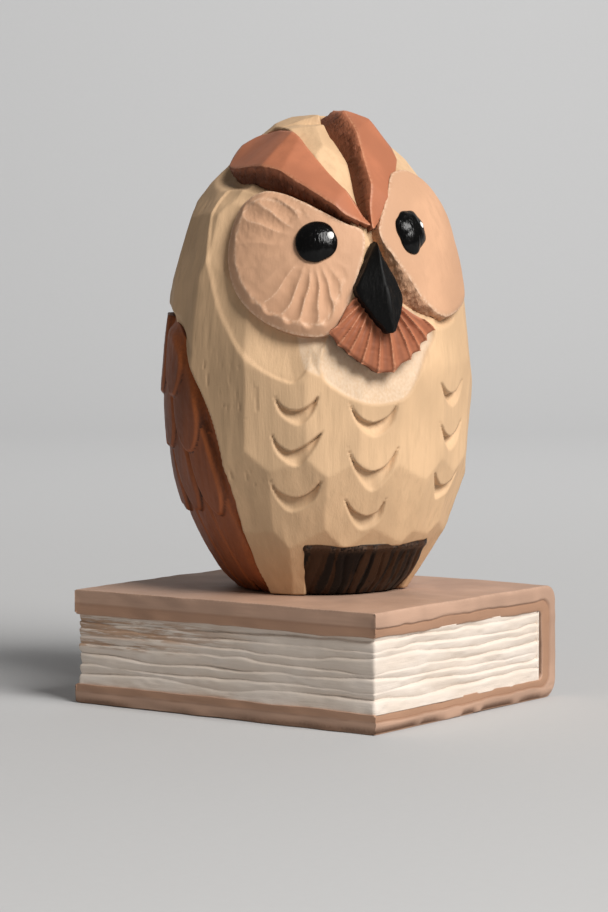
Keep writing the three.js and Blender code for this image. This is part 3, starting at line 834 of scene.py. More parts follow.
def bib_ridges(flat):
    """0 in the gouged flutes, 1 on the sharp ridges between, and the distance from the apex."""
    away = flat - BIB_APEX
    angle = np.arctan2(away[..., 1], away[..., 0]) % (2 * pi)
    slot = np.clip(np.searchsorted(BIB_TURNS, angle) - 1, 0, BIB_FLUTES - 1)
    u = (angle - BIB_TURNS[slot]) / (BIB_TURNS[slot + 1] - BIB_TURNS[slot])
    return np.abs(np.clip(2 * u - 1.16, -1.16, 1)) ** 1.7, np.hypot(away[..., 0], away[..., 1])


def bib_relief(face):
    ridge, far = bib_ridges(face)
    rough = np.dstack([face, far])
    groove = 0.75 * (1 - ridge) * ease(far, 2, 6)
    rim = inside(face, BIB)
    height = 0.9 + 1.25 * ease(far, 2, 12) - groove + 0.06 * bumps(rough, 0.9, 63)
    height -= 0.35 * np.clip((0.5 - rim) / 0.5, 0, 1) ** 2
    # The flutes are darkened, partly as painted shade; the pale ridges are partly rubbed paint, partly
    # a painted highlight.
    return height, {"cut": 0.4 * (1 - ease(ridge, 0.0, 0.3)) * ease(far, 2, 5),
                    "lip": ease(ridge, 0.6, 0.95) * ease(far, 4, 8)}


crest, = respaced(360, BIB)
ridge, far = bib_ridges(crest)
fan = (crest - BIB_APEX) / far[:, None]
below = ease(-(crest[:, 1] - BIB_APEX[1]), 2, 5)
crest = crest + fan * (below * 0.3 * ridge)[:, None]
chin_bib = plate("chin_bib_carved", FACE_MAP, crest, crest - fan * (0.5 * below)[:, None],
                 bib_relief, 2.0, 46, 0.2, 65, 0.9)
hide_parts("chin_bib")

# %% [markdown]
# ## The beak
#
# The beak is a slim four-sided wedge, widest below its middle. It is built from slices, top to
# bottom. Each slice joins the left edge, the ridge and the right edge of the wedge, and closes
# inside the block.

# %% The beak's slices
BEAK_LEFT = through([(-0.9, -29.3, 67.2), (-2.7, -30.0, 63.6), (-4.6, -30.6, 60.2),
                     (-5.2, -30.7, 58.4), (-3.6, -32.2, 55.0), (-0.5, -33.9, 50.9)], 12)
BEAK_RIDGE = through([(-0.8, -30.1, 67.4), (-0.8, -31.6, 64.3), (-0.5, -33.4, 60.2),
                      (-0.2, -34.5, 56.9), (0.1, -34.8, 53.6), (0.4, -34.6, 50.6)], 12)
BEAK_RIGHT = through([(-0.6, -29.4, 67.2), (1.0, -30.3, 63.4), (2.9, -31.0, 59.6),
                      (3.8, -31.1, 57.2), (3.2, -32.2, 54.4), (1.1, -33.9, 50.9)], 12)


def carve_beak():
    slices = []
    for left, top, right in zip(BEAK_LEFT, BEAK_RIDGE, BEAK_RIGHT):
        t = np.linspace(0, 1, 9)[:, None]
        back_left, back_right = left * [1, 0, 1], right * [1, 0, 1]
        back_left[1] = back_right[1] = -27.0
        sides = [(back_left, left), (left, top), (top, right), (right, back_right),
                 (back_right, back_left)]
        slices.append(np.vstack([a + (b - a) * t[:-1] for a, b in sides]))
    rings = np.array(slices)
    rings += 0.13 * bumps(rings, 1.3, 71)[..., None] * [1, -1, 0.4]
    top, tip = rings[0].mean(0) + [0, 0, 0.4], rings[-1].mean(0) - [0, 0, 0.5]
    return ring_solid("beak_carved", rings, top, tip)


beak = carve_beak()
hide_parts("beak")

# %% [markdown]
# ## The eyes
#
# Each eye is a thick domed drop of gloss black, brushed on by hand, so its edge is not
# a true circle and the brush left ridges in it. A dot of white paint gives it life.

# %% Domes and dots
EYE_RADIUS, EYE_DOME = 4.0, 1.5


def paint_drop(name, turn, height, proud, radius, dome, seed, ragged=0.06, stretch=1.0, sunk=1.2):
    """A domed drop of paint standing on the skin."""
    down = down_at(height)
    middle = skin(radians(turn), down, proud)
    out = skin_normal(radians(turn), down)
    side = np.array([cos(radians(turn)), sin(radians(turn)), 0.0])
    up = np.cross(side, out)
    angle = np.linspace(0, 2 * pi, 72, endpoint=False)
    circle = np.stack([np.cos(angle), np.sin(angle)], -1)
    wobble = 1 + ragged * bumps(np.column_stack([circle * 2.2, 0 * angle]), 1, seed)
    tall = ease(circle[:, 1] - 0.4 * circle[:, 0], 0.75, 1.1) * (ragged > 0.1) * 0.22
    rings = []
    for r in np.linspace(0.06, 1, 16):
        lift = dome * (1 - r ** 2.4) + 0.05 * bumps(np.column_stack([circle * r * 3, 0 * angle]),
                                                    (0.5, 1.6, 1), seed + 1) * (1 - r)
        at = circle * (r * radius * (wobble + tall))[:, None]
        rings.append(middle + at[:, :1] * side * stretch + at[:, 1:] * up + lift[:, None] * out)
    rim = rings[-1]
    for shrink, level in ((0.98, -0.25), (0.9, -0.7), (0.6, -sunk)):
        rings.append(middle + shrink * (rim - middle) + level * out)
    top, low = middle + (dome + 0.01) * out, middle - sunk * out
    return ring_solid(name, np.array(rings), top, low)


left_eye = paint_drop("left_eye_drop", *LEFT_EYE, 1.1, EYE_RADIUS, EYE_DOME, 81, 0.05)
right_eye = paint_drop("right_eye_drop", RIGHT_EYE[0] + 2.0, RIGHT_EYE[1], 1.2, 3.9, EYE_DOME, 85,
                       0.12, 0.9)
left_dot = paint_drop("left_eye_dot", LEFT_EYE[0] + 5.4, LEFT_EYE[1] + 0.8, 2.15, 0.72, 0.25, 91,
                      0.1, sunk=0.5)
right_dot = paint_drop("right_eye_dot", RIGHT_EYE[0] + 5.9, RIGHT_EYE[1] + 0.6, 2.25, 0.68, 0.25, 93,
                       0.1, sunk=0.5)
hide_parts("left_eye")
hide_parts("right_eye")
for dot in (left_dot, right_dot):
    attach(dot, "root")

# %% [markdown]
# ## Wings and tail
#
# A wing is rows of feathers that lap like shingles. Each feather is a long leaf with a flat back
# and bevelled edges, and it rises a little towards its tip. Where leaves overlap, the upper
# one hides the lower, so taking the highest leaf at each point carves the whole wing at once.

# %% Feathers
def feather(flat, root, tip, half_width, level, rise=0.7, bevel=0.7, cap=0.75):
    """The height of one leaf over the ground, and how near its bevelled edge is."""
    axis = tip - root
    length = np.linalg.norm(axis)
    axis = axis / length
    along = (flat - root) @ axis / length
    across = np.abs((flat - root) @ np.array([axis[1], -axis[0]]))
    taper = np.clip(1 - np.clip((along - 0.55) / 0.45, 0, 1) ** 2.3, 0, 1) ** 0.6
    taper = taper * (0.82 + 0.18 * ease(along, -0.1, 0.5))
    edge = half_width * taper - across
    edge = np.minimum(edge, (1 - along) * length * 1.3)
    height = level + rise * along + np.minimum(np.where(edge > 0, bevel, 2.2) * edge, cap)
    return np.where(along > -0.25, height, -9), edge


def laid_over(height, edge, leaf, rim):
    """The carving so far with one more leaf laid over it, where the leaf is higher."""
    return np.maximum(height, leaf), np.where(leaf > height, rim, edge)


WING_GROUND, WING_PROUD = -2.7, 1.5
WING_ROWS = [
    ([-92, -110.5, -129, -147.5], 56.5, [37.6, 37.8, 37.5, 38.5], 4.75, -0.6),
    ([-83, -101, -119.5, -137.5, -154], 46, [27, 27.4, 27, 26.8, 28.5], 4.8, -0.9),
    ([-74.5, -89, -104, -119, -134, -149], 34, [15, 15.5, 15, 15.4, 15, 16], 4.0, -1.1),
    ([-66.5, -80, -95, -110, -125, -140, -152], 23, [-3, -4, -4, -4, -4, -4, -3], 4.1, -1.5),
]


def wing_relief(seed):
    def relief(face):
        jitter = iter(scatter(60, seed))
        front = inside(face, WING) + 30 * ease(-face[..., 0], -4, 2)
        beside = 1 - ease(front, 1.2, 5.0)
        height, edge = WING_GROUND + 1.7 * beside, np.zeros(beside.shape)
        for turns, root_height, tips, half_width, level in WING_ROWS:
            for turn, tip_height in zip(turns, tips):
                lean = 6 if root_height < 40 else 3
                root = LEFT_WING_MAP.flat(radians(turn - lean + next(jitter)),
                                          down_at(root_height))
                tip = LEFT_WING_MAP.flat(radians(turn + lean + next(jitter)), down_at(tip_height))
                leaf = feather(face, root, tip, half_width, level)
                height, edge = laid_over(height, edge, *leaf)
        place = np.dstack([face, edge])
        height += 0.07 * bumps(place, (1.2, 5, 3), seed + 1) + 0.04 * bumps(place, 0.8, seed + 2)
        hollow_by_body = 1.2 * (1 - ease(front, 0.0, 3.0))
        height = np.clip(height, WING_GROUND, WING_PROUD) - 0.2 - hollow_by_body
        # Painted shade: the colour goes near black in the grooves where one feather laps the next. The
        # bevels are painted lighter: partly rubbed paint, partly a painted highlight. The strip by the
        # wing's front edge is painted lighter too.
        cut = (1 - ease(edge, 0.0, 0.8)) * (1 - 0.8 * beside)
        bevel_wear_and_highlight = 0.6 * ease(edge, 0.2, 0.6) * (1 - ease(edge, 0.9, 1.4))
        return height, {"cut": cut, "lip": np.clip(bevel_wear_and_highlight + 0.9 * beside, 0, 1)}
    return relief


crest, = respaced(520, WING)
left_wing = plate("left_wing_carved", LEFT_WING_MAP, crest, grown(crest, 0.1),
                  wing_relief(101), 3.4, 96, 0.1, 103)
right_wing = plate("right_wing_carved", RIGHT_WING_MAP, crest, grown(crest, 0.1),
                   wing_relief(111), 3.4, 96, 0.1, 113)
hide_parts("left_wing")
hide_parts("right_wing")

# %% Tail feathers
TAIL_GROUND, TAIL_PROUD = -1.6, 1.4
TAIL_TURNS = zip((-197, -188.5, -180, -171.5, -163), (-199, -189.5, -180, -170.5, -161))
TAIL_TURNS = list(TAIL_TURNS)


def tail_relief(face):
    height, edge = np.full(face.shape[:-1], TAIL_GROUND), np.zeros(face.shape[:-1])
    for turn, tip_turn in TAIL_TURNS:
        root = TAIL_MAP.flat(radians(turn * 0.6 - 72), down_at(31))
        tip = TAIL_MAP.flat(radians(tip_turn), down_at(-1.5))
        height, edge = laid_over(height, edge, *feather(face, root, tip, 2.5, 0.1, 0.6, 0.8, 0.7))
    place = np.dstack([face, edge])
    height += 0.06 * bumps(place, (1.2, 5, 3), 121)
    height = np.clip(height, TAIL_GROUND, TAIL_PROUD) - 0.4 * (1 - ease(inside(face, TAIL), 0, 1.2))
    # As on the wings, the grooves between feathers are darkened as painted shade, and the bevels are
    # lighter, partly rubbed paint and partly a painted highlight.
    return height, {"cut": 1 - ease(edge, 0, 0.4),
                    "lip": ease(edge, 0.1, 0.5) * (1 - ease(edge, 0.7, 0.9))}


crest, = respaced(260, TAIL)
tail = plate("tail_carved", TAIL_MAP, crest, grown(crest, 0.1), tail_relief, 3.4, 50, 0.12, 123)
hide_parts("tail")

# %% [markdown]
# ## The foot panel
#
# The feet are one dark panel at the front. A rounded ledge runs along its top, and splayed V cuts
# below it stand for the legs' feathers and toes.

# %% The foot panel
def foot_relief(face):
    turn, down = BELLY_MAP.place(face)
    drop = down - down_at(10.6)
    middle = BELLY_MAP.flat(radians(4), 0)[0]
    splay = (face[..., 0] - middle) / (1 + 0.028 * drop)
    place = np.dstack([face, drop])
    lines = splay / 2.9 + 0.28 * bumps(place, (2.9, 9, 9), 131)
    vee = np.abs(lines - np.round(lines)) * 2
    rim = inside(face, FOOT_PANEL)
    ledge = np.exp(-((drop - 1.25) / 0.85) ** 2)
    groove = (1 - ease(vee, 0, 0.34)) * ease(drop, 2.0, 3.4)
    height = 0.2 + 0.3 * ledge - 0.3 * groove - 0.3 * (1 - ease(rim, 0, 0.8))
    height += 0.04 * bumps(place, 1.2, 133)
    stripe = ease(bumps(np.dstack([lines * 3, drop, drop]), (1.1, 30, 30), 135), -0.25, 0.25)
    # The rounded ledge is marked as a lip, so it is painted lighter: partly worn paint, partly a
    # painted highlight. The grooves are darkened, partly as painted shade.
    return height, {"cut": groove, "lip": ledge, "stripe": stripe}


crest, = respaced(280, FOOT_PANEL)
foot_block = plate("foot_block_carved", BELLY_MAP, crest, grown(crest, 0.1), foot_relief, 3.0, 40,
                   0.06, 137)
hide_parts("foot_block")

# %% [markdown]
# ## The book's cover
#
# The cover is one C-shaped piece: top board, spine and bottom board. It is swept along the C:
# each cross-section is a slim rectangle as long as the book, and the sections turn round the
# spine's corners. The cut ends show two bands, where the knife set the lining back behind the
# board, and no edge is quite straight.

# %% Sizes of the book
cover_low, cover_high = (np.array(corner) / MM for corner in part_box("book_cover"))
page_low, page_high = (np.array(corner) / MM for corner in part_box("page_block"))
BOOK_TOP, FORE, SPINE_SIDE = cover_high[2], cover_low[0], cover_high[0]
HALF_LENGTH = cover_high[1]
TOP_BOARD, BOTTOM_BOARD, SPINE_WALL = 5.0, 4.0, 5.0
SPINE_ROUND, INNER_ROUND = 3.5, 1.2
print("book:", cover_low.round(2), cover_high.round(2), "pages:", page_low.round(2), page_high.round(2))


def c_line(wall_x, top, low, radius):
    """One line of the cover's C, as (x, z) from fore edge to fore edge round the spine."""
    t = np.concatenate([[0, 0.003, 0.008], np.linspace(0.014, 1, 110)])[:, None]
    s = np.linspace(0, 1, 30)[1:-1, None]
    corner = np.linspace(pi / 2, 0, 16)[:, None]
    arc = np.hstack([np.cos(corner), np.sin(corner)])
    upper, lower = (np.array([wall_x - radius, z]) for z in (top - radius, low + radius))
    top_line = np.array([FORE, top]) * (1 - t) + [upper[0], top] * t
    wall = np.hstack([0 * s + wall_x, upper[1] * (1 - s) + lower[1] * s])
    low_line = np.array([FORE, low]) * t + [lower[0], low] * (1 - t)
    return np.vstack([top_line[:-1], upper + radius * arc, wall,
                      lower + radius * arc[::-1] * [1, -1], low_line[1:]])


# %% The cover's mesh
def section_loop():
    """A rounded slim rectangle as (depth through the board from 0 to 1, place along the book)."""
    long_way = np.linspace(-1, 1, 150)
    along = (HALF_LENGTH - 0.6) * np.sign(long_way) * (1 - (1 - np.abs(long_way)) ** 1.12)
    through_board = np.array([0.02, 0.06, 0.12, 0.2, 0.3, 0.4, 0.48, 0.54, 0.58, 0.61, 0.64, 0.67,
                              0.7, 0.75, 0.82, 0.9, 0.96])
    end = np.full(len(through_board), HALF_LENGTH)
    out_side = np.stack([np.zeros(len(along)), along], -1)
    far_end = np.stack([through_board, end], -1)
    in_side = np.stack([np.ones(len(along)), along[::-1]], -1)
    near_end = np.stack([through_board[::-1], -end], -1)
    return np.vstack([out_side, far_end, in_side, near_end])


BAND_FROM, BAND_FULL, GROOVE_AT, GROOVE_WIDTH = 0.54, 0.6, 0.57, 0.035
SCALLOP_HEIGHT = 1.5


def carve_cover():
    """Shrunken sections at both ends of the C close the boards' fore edges as flat faces."""
    shrink = np.array([0.03, 0.2, 0.4, 0.6, 0.8, 0.92])
    outer = c_line(SPINE_SIDE, BOOK_TOP, 0, SPINE_ROUND)
    inner = c_line(SPINE_SIDE - SPINE_WALL, BOOK_TOP - TOP_BOARD, BOTTOM_BOARD, INNER_ROUND)
    size = np.concatenate([shrink, np.ones(len(outer)), shrink[::-1]])[:, None]
    caps = len(shrink)
    outer, inner = (np.vstack([line[:1].repeat(caps, 0), line, line[-1:].repeat(caps, 0)])
                    for line in (outer, inner))
    loop = section_loop()
    depth = 0.5 + size * (loop[:, 0] - 0.5)
    points = np.empty((len(outer), len(loop), 3))
    for k, axis in ((0, 0), (1, 2)):
        points[..., axis] = outer[:, k:k + 1] * (1 - depth) + inner[:, k:k + 1] * depth
    points[..., 1] = loop[:, 1] * (1 - 1.6 * (1 - size) / HALF_LENGTH)
    on_end = (np.abs(points[..., 1]) > HALF_LENGTH - 1e-6)
    thick = np.linalg.norm(outer - inner, axis=1)[:, None]
    wave = 0.07 * bumps(points * [1, 0, 1], (7, 9, 7), 141) + 0.03 * bumps(points, 2.2, 142)
    band = ease(depth + wave, BAND_FROM, BAND_FULL) * (depth < 0.99)
    groove = np.exp(-((depth + wave - GROOVE_AT) / GROOVE_WIDTH) ** 2)
    scallop = ease(bumps(points, (3.4, 9, 9), 149), -0.9, 0.2) * (points[..., 2] < SCALLOP_HEIGHT)
    low_cut = scallop * (1 - points[..., 2] / SCALLOP_HEIGHT)
    setback = on_end * (0.3 * band + 0.15 * groove + 0.12 + 0.12 * bumps(points, (5, 5, 2), 143)
                        + 0.7 * low_cut)
    round_off = 0.35 * (np.exp(-depth * thick / 0.35) + 0.6 * np.exp(-(1 - depth) * thick / 0.3))
    setback = setback + on_end * round_off
    points[..., 1] -= np.sign(points[..., 1]) * setback
    inward = (inner - outer) / thick
    hand = 0.16 * bumps(points, (9, 11, 9), 145) + 0.05 * bumps(points, (2.5, 3, 2.5), 146)
    face_wave = np.where(depth < 0.5, 0.12 + hand, -0.1 + 1.9 * hand) * np.abs(2 * depth - 1)
    for k, axis in ((0, 0), (1, 2)):
        points[..., axis] += inward[:, k:k + 1] * face_wave
    fore = np.exp(-(points[..., 0] - FORE) / 0.5)
    points[..., 0] += fore * (0.25 + 0.3 * ease(size, 0.1, 0.9) * bumps(points, (6, 5, 3), 147))
    points[..., 2] = np.clip(points[..., 2], 0, BOOK_TOP)
    edge = on_end | (points[..., 0] < FORE + 0.8)
    # The end grooves are darkened, partly as painted shade, and the nicked low edge is painted dark,
    # partly dark wood and partly painted shade.
    marks = {"band": edge * band * np.where(on_end, 1, 0.8),
             "cut": np.clip(edge * groove * 0.6, 0, 1),
             "nicks_and_low_shade": np.clip(1.6 * low_cut, 0, 1) * edge,
             "lip": np.where(edge, np.clip(round_off * 2.6, 0, 1), 0)}
    first, last = points[0].mean(0), points[-1].mean(0)
    return ring_solid("book_cover_carved", points, first, last, marks, on_owl=False)


book_cover = carve_cover()
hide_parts("book_cover")

# %% [markdown]
# ## The pages
#
# The pages are one block with wavy V grooves cut round its three open sides, so that it reads as
# a handful of thick leaves. The block is made of flat loops, stacked like the leaves themselves.
# Each groove wanders up and down, and comes and goes, because it was cut freehand.

# %% The page block's mesh
LEAF_GROOVES = [1.9, 3.7, 5.6, 7.5, 9.4, 11.2, 12.6]
LEAF_GROOVE_DEPTH = 0.95
INTO_BOARDS, FORE_INSET, END_INSET = 0.35, 0.5, 0.4


def carve_pages():
    low, high = BOTTOM_BOARD - INTO_BOARDS, BOOK_TOP - TOP_BOARD + INTO_BOARDS
    x0, x1 = FORE + FORE_INSET, page_high[0]
    y1 = HALF_LENGTH - END_INSET
    corner = 0.8
    turn = np.linspace(0, pi / 2, 7)[1:-1]
    arc = corner * np.stack([np.cos(turn), np.sin(turn)], -1)
    centre = np.array([x0 + corner, y1 - corner])
    loop = np.vstack([np.linspace((x0, -y1 + corner), (x0, y1 - corner), 230),
                      centre + arc * [-1, 1],
                      np.linspace((x0 + corner, y1), (x1, y1), 150),
                      np.linspace((x1, y1 - 1), (x1, 1 - y1), 40),
                      np.linspace((x1, -y1), (x0 + corner, -y1), 210),
                      centre * [1, -1] + arc[::-1] * [-1, -1]])
    along = np.roll(loop, -1, 0) - np.roll(loop, 1, 0)
    along /= np.linalg.norm(along, axis=1)[:, None]
    outward = np.stack([-along[:, 1], along[:, 0]], -1)
    heights = np.linspace(low, high, 118)
    points = np.empty((len(heights), len(loop), 3))
    points[..., 0], points[..., 1] = loop[:, 0], loop[:, 1]
    points[..., 2] = heights[:, None]
    ground = points * [1, 1, 0]
    cut, shape = np.zeros(points.shape[:-1]), np.zeros(points.shape[:-1])
    above = points[..., 2] - page_low[2]
    for number, level in enumerate(LEAF_GROOVES):
        line = level + 0.75 * bumps(ground, (17, 17, 1), 151 + number) \
            + 0.22 * bumps(ground, (4.5, 4.5, 1), 171 + number)
        strong = 0.55 + 0.45 * bumps(ground, (14, 14, 1), 191 + number)
        gap = above - line
        vee = np.where(gap > 0, np.exp(-gap / 0.75), np.exp(gap / 0.22))
        shape = np.maximum(shape, strong * vee)
        cut = np.maximum(cut, strong * np.exp(-(gap / 0.22) ** 2))
    hand = 0.16 * bumps(points, (9, 9, 2.2), 211) + 0.06 * bumps(points, (2.2, 2.2, 0.9), 212)
    by_spine = np.exp(-(x1 - loop[:, 0]) / 0.7)
    inset = (LEAF_GROOVE_DEPTH * shape + 1.2 * hand + 0.1) * (loop[:, 0] < x1 - 0.01) + 0.8 * by_spine
    points[..., :2] -= outward * inset[..., None]
    marks = {"cut": np.clip(cut, 0, 1)}
    first, last = points[0].mean(0), points[-1].mean(0)
    return ring_solid("page_block_carved", points, first, last, marks, on_owl=False)


page_block = carve_pages()
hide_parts("page_block")

# %% [markdown]
# ## Writing a finish as sums
#
# A Blender material is a graph of nodes. Long graphs are easier to read as sums, so a small class
# wraps one output socket and turns +, - and * into Math nodes. Colours go through a Mix node
# instead, because a Math node would turn them grey.

# %% The socket class
class Term:
    """One output socket, with operators that add Math nodes."""
    def __init__(self, finish, socket):
        self.finish, self.socket = finish, socket

    def math(self, operation, a, b=0.0, clamp=False):
        return self.finish.node("ShaderNodeMath", {"operation": operation, "use_clamp": clamp},
                                {0: a, 1: b})

    def __add__(self, other):
        return self.math("ADD", self, other)

    def __sub__(self, other):
        return self.math("SUBTRACT", self, other)

    def __rsub__(self, other):
        return self.math("SUBTRACT", other, self)

    def __mul__(self, other):
        return self.math("MULTIPLY", self, other)

    __radd__, __rmul__ = __add__, __mul__

    def clip(self):
        return self.math("ADD", self, 0.0, clamp=True)

    def step(self, low, high):
        """0 below low, 1 above high, smooth between."""
        return self.finish.node("ShaderNodeMapRange", {"interpolation_type": "SMOOTHSTEP"},
                                {"Value": self, "From Min": low, "From Max": high})


class Finish:
    """A material whose nodes are added by plain calls."""
    def __init__(self, name):
        self.material = bpy.data.materials.new(name)
        self.material.use_nodes = True
        self.nodes, self.links = self.material.node_tree.nodes, self.material.node_tree.links
        self.nodes.clear()
        self.place = self.node("ShaderNodeTexCoord", out="Object")

    def node(self, kind, settings=None, inputs=None, out=0):
        made = self.nodes.new(kind)
        for setting, value in (settings or {}).items():
            setattr(made, setting, value)
        for name, value in (inputs or {}).items():
            if isinstance(value, Term):
                self.links.new(value.socket, made.inputs[name])
            else:
                made.inputs[name].default_value = value
        return Term(self, made.outputs[out]) if made.outputs else made

    def mark(self, name):
        return self.node("ShaderNodeAttribute", {"attribute_name": name}, out="Fac")

    def noise(self, size, detail=3.0, rough=0.55, shift=0.0):
        """Noise from 0 to 1 whose bumps measure size, in mm: (across x, along y, up z)."""
        scale = Vector([1000 / side for side in size])
        moved = self.node("ShaderNodeMapping", {}, {"Vector": self.place, "Scale": scale,
                                                    "Location": (shift, shift * 0.7, shift * 1.3)})
        return self.node("ShaderNodeTexNoise", {},
                         {"Vector": moved, "Scale": 1.0, "Detail": detail, "Roughness": rough})

    def blend(self, amount, under, over):
        """A colour mix. Inputs 6 and 7 and output 2 are the Mix node's colour sockets."""
        return self.node("ShaderNodeMix", {"data_type": "RGBA"}, {0: amount, 6: under, 7: over}, 2)

    def surface(self, colour, roughness, height, depth, coat=0.0, coat_rough=0.1, specular=0.4):
        """The shader. height is in mm when depth is 1."""
        bump = self.node("ShaderNodeBump", {}, {"Height": height, "Distance": depth * MM,
                                                "Strength": 1.0})
        shader = self.node("ShaderNodeBsdfPrincipled", {}, {
            "Base Color": colour, "Roughness": roughness, "Normal": bump,
            "Coat Weight": coat, "Coat Roughness": coat_rough, "Specular IOR Level": specular})
        self.node("ShaderNodeOutputMaterial", {}, {"Surface": shader})
        return self.material


def tint(red, green, blue):
    return (red, green, blue, 1.0)


# %% [markdown]
# ## Painted wood
#
# The owl is basswood under thin matt paint. The grain and the knife's chatter show through the
# paint, so the bump has upright fibres. The colour is never even: the brush leaves streaks, the
# cuts are darker, partly from pooled paint and partly as painted shade, and the ridges are lighter,
# rubbed thin and on some finishes also a painted highlight. One recipe makes every painted finish,
# and each finish sets how strong these effects are.

# %% The paint recipe
def scaled(colour, by):
    return tuple(min(1.0, channel * by) for channel in colour[:3]) + (1.0,)


def painted(name, colour, deep, worn, streak=0.10, patch=0.10, cut_pool_and_shade=0.8, lip_worn=0.35,
            rough=(0.55, 0.75), grain=0.05, extra=None, along=(0.5, 0.5, 7.0), gritty=1.0, shine=0.3):
    """Thin paint on carved wood. deep is its colour in cuts: partly pooled paint, partly painted
    shade. worn is where it is rubbed, and on some finishes also a painted highlight.
    """
    paint = Finish(name)
    fibres = paint.noise(along, 4.0, 0.6)
    brush = paint.noise(tuple(3.2 * side for side in along), 3.0, 0.6, 3.0)
    patches = paint.noise((11, 11, 16), 2.0, 0.5, 7.0)
    specks = paint.noise((0.45, 0.45, 0.6), 2.0, 0.5, 11.0)
    cuts = paint.mark("cut")
    lips = paint.mark("lip")

    thin, thick = scaled(colour, 1 + 2.2 * patch), scaled(colour, 1 - 1.9 * patch)
    base = paint.blend(patches.step(0.32, 0.68), thick, thin)
    streaky = scaled(colour, 1 - 2.6 * streak)
    base = paint.blend(brush.step(0.42, 0.75) * 0.7, base, streaky)
    base = paint.blend(fibres.step(0.5, 0.8) * (4.5 * streak), base, streaky)
    # Darker colour in the cuts: partly pooled paint, partly painted shade in the hollows.
    pooled_paint_and_shade = (cuts * (0.55 + 0.9 * patches) * cut_pool_and_shade).clip()
    base = paint.blend(pooled_paint_and_shade, base, deep)
    # Lighter colour on the lips: rubbed paint, and on the wing bevels, bib ridges and foot ledge also a
    # painted highlight.
    grit = (specks * 0.9 + fibres * 0.5).step(0.52, 0.86) * gritty + (1 - gritty) * 0.5
    rubbed = (lips * grit * lip_worn * 2.0).clip()
    base = paint.blend(rubbed, base, worn)
    if extra:
        base = extra(paint, base, specks, patches)

    low, high = rough
    gloss = (low + (high - low) * (brush * 0.6 + specks * 0.4) * 1.3 - 0.12 * lips).clip()
    splinters = paint.noise((0.45, 0.45, 1.5), 3.0, 0.6, 17.0)
    height = fibres * grain + specks * (0.45 * grain) + brush * (1.1 * grain)
    height = height + paint.mark("wall") * splinters * 0.3
    return paint.surface(base, gloss, height, 1.0, specular=shine)


# %% Cream body paint
CREAM = tint(0.645, 0.43, 0.252)


def fresh_cuts(paint, base, specks, patches):
    """The scoop under the bib is chalky and almost bare, and the crescents are a bit lighter."""
    chalk = paint.mark("pale") * (specks * 0.8 + patches * 0.6).step(0.42, 0.85)
    base = paint.blend(paint.mark("pale") * 0.5, base, tint(0.70, 0.52, 0.36))
    base = paint.blend(chalk * 0.4, base, tint(0.78, 0.65, 0.51))
    return paint.blend(paint.mark("fresh") * 0.3, base, tint(0.76, 0.54, 0.34))


cream_paint = painted("cream_paint", CREAM, tint(0.30, 0.16, 0.075), tint(0.82, 0.62, 0.42),
                      streak=0.035, patch=0.05, cut_pool_and_shade=0.9, grain=0.05, extra=fresh_cuts,
                      along=(0.35, 0.35, 3.5))

# %% Peach, terracotta and the wing stain
peach_paint = painted("peach_paint", tint(0.58, 0.335, 0.203), tint(0.38, 0.17, 0.08),
                      tint(0.85, 0.62, 0.44), streak=0.025, patch=0.045, cut_pool_and_shade=0.55,
                      lip_worn=0.3, grain=0.045, along=(0.5, 0.5, 2.0))
# Its near-black deep colour fills the brow and bib walls: partly soaked-in paint, partly painted shade.
terracotta_paint = painted("terracotta_paint", tint(0.42, 0.15, 0.075), tint(0.10, 0.028, 0.011),
                           tint(0.62, 0.31, 0.18), streak=0.03, patch=0.06, cut_pool_and_shade=0.9,
                           lip_worn=0.25, rough=(0.46, 0.64), grain=0.025, along=(0.8, 0.8, 1.6))
# Its near-black deep colour is, in part, painted shade between the feathers; its orange worn colour on
# the bevels is partly a painted highlight.
wing_stain = painted("wing_stain", tint(0.25, 0.073, 0.027), tint(0.03, 0.009, 0.004),
                     tint(0.50, 0.14, 0.038), streak=0.06, patch=0.09, cut_pool_and_shade=1.0, lip_worn=0.6,
                     rough=(0.4, 0.58), grain=0.035, gritty=0.25)


def stripes(paint, base, specks, patches):
    """Brown wood and black stain alternate down the foot panel."""
    shown = (paint.mark("stripe") * 0.8 + paint.noise((0.8, 0.8, 9), 3.0) * 0.5).step(0.45, 0.85)
    return paint.blend(shown * 0.75, base, tint(0.055, 0.024, 0.011))


# Its worn colour lightens the ledge: partly worn paint, partly a painted highlight.
foot_stain = painted("foot_stain", tint(0.008, 0.005, 0.004), tint(0.003, 0.002, 0.002),
                     tint(0.13, 0.08, 0.055), streak=0.1, patch=0.15, cut_pool_and_shade=1.0, lip_worn=0.35,
                     rough=(0.3, 0.5), grain=0.04, extra=stripes, shine=0.16)

# %% [markdown]
# ## Gloss black, bare wood and the book's paints
#
# The eyes are enamel over brush ridges, so they have a thin clear coat and a bump. The
# beak is the same black, brushed thinner and duller. The book's cover is a flat brown-pink, and
# the pages are white over brown wood that shows where the brush skipped.

# %% Black enamel
def black(name, rough, coat, bump):
    enamel = Finish(name)
    ridges = enamel.noise((0.7, 0.7, 2.6), 2.0, 0.5)
    dust = enamel.noise((0.5, 0.5, 0.5), 2.0, 0.5, 5.0)
    colour = enamel.blend(dust.step(0.55, 0.8), tint(0.002, 0.002, 0.002), tint(0.008, 0.007, 0.006))
    return enamel.surface(colour, (rough + 0.25 * dust * rough).clip(), ridges, bump, coat, 0.06, 0.18)


gloss_black = black("gloss_black", 0.2, 0.06, 0.2)
black_paint = black("black_paint", 0.5, 0.0, 0.12)


def white_dot():
    dot = Finish("white_dot_paint")
    thick = dot.noise((0.4, 0.4, 0.4), 2.0)
    colour = dot.blend(thick, tint(0.80, 0.80, 0.78), tint(0.9, 0.9, 0.88))
    return dot.surface(colour, 0.25 + 0.1 * thick, thick, 0.05, 0.5)


white_dot_paint = white_dot()

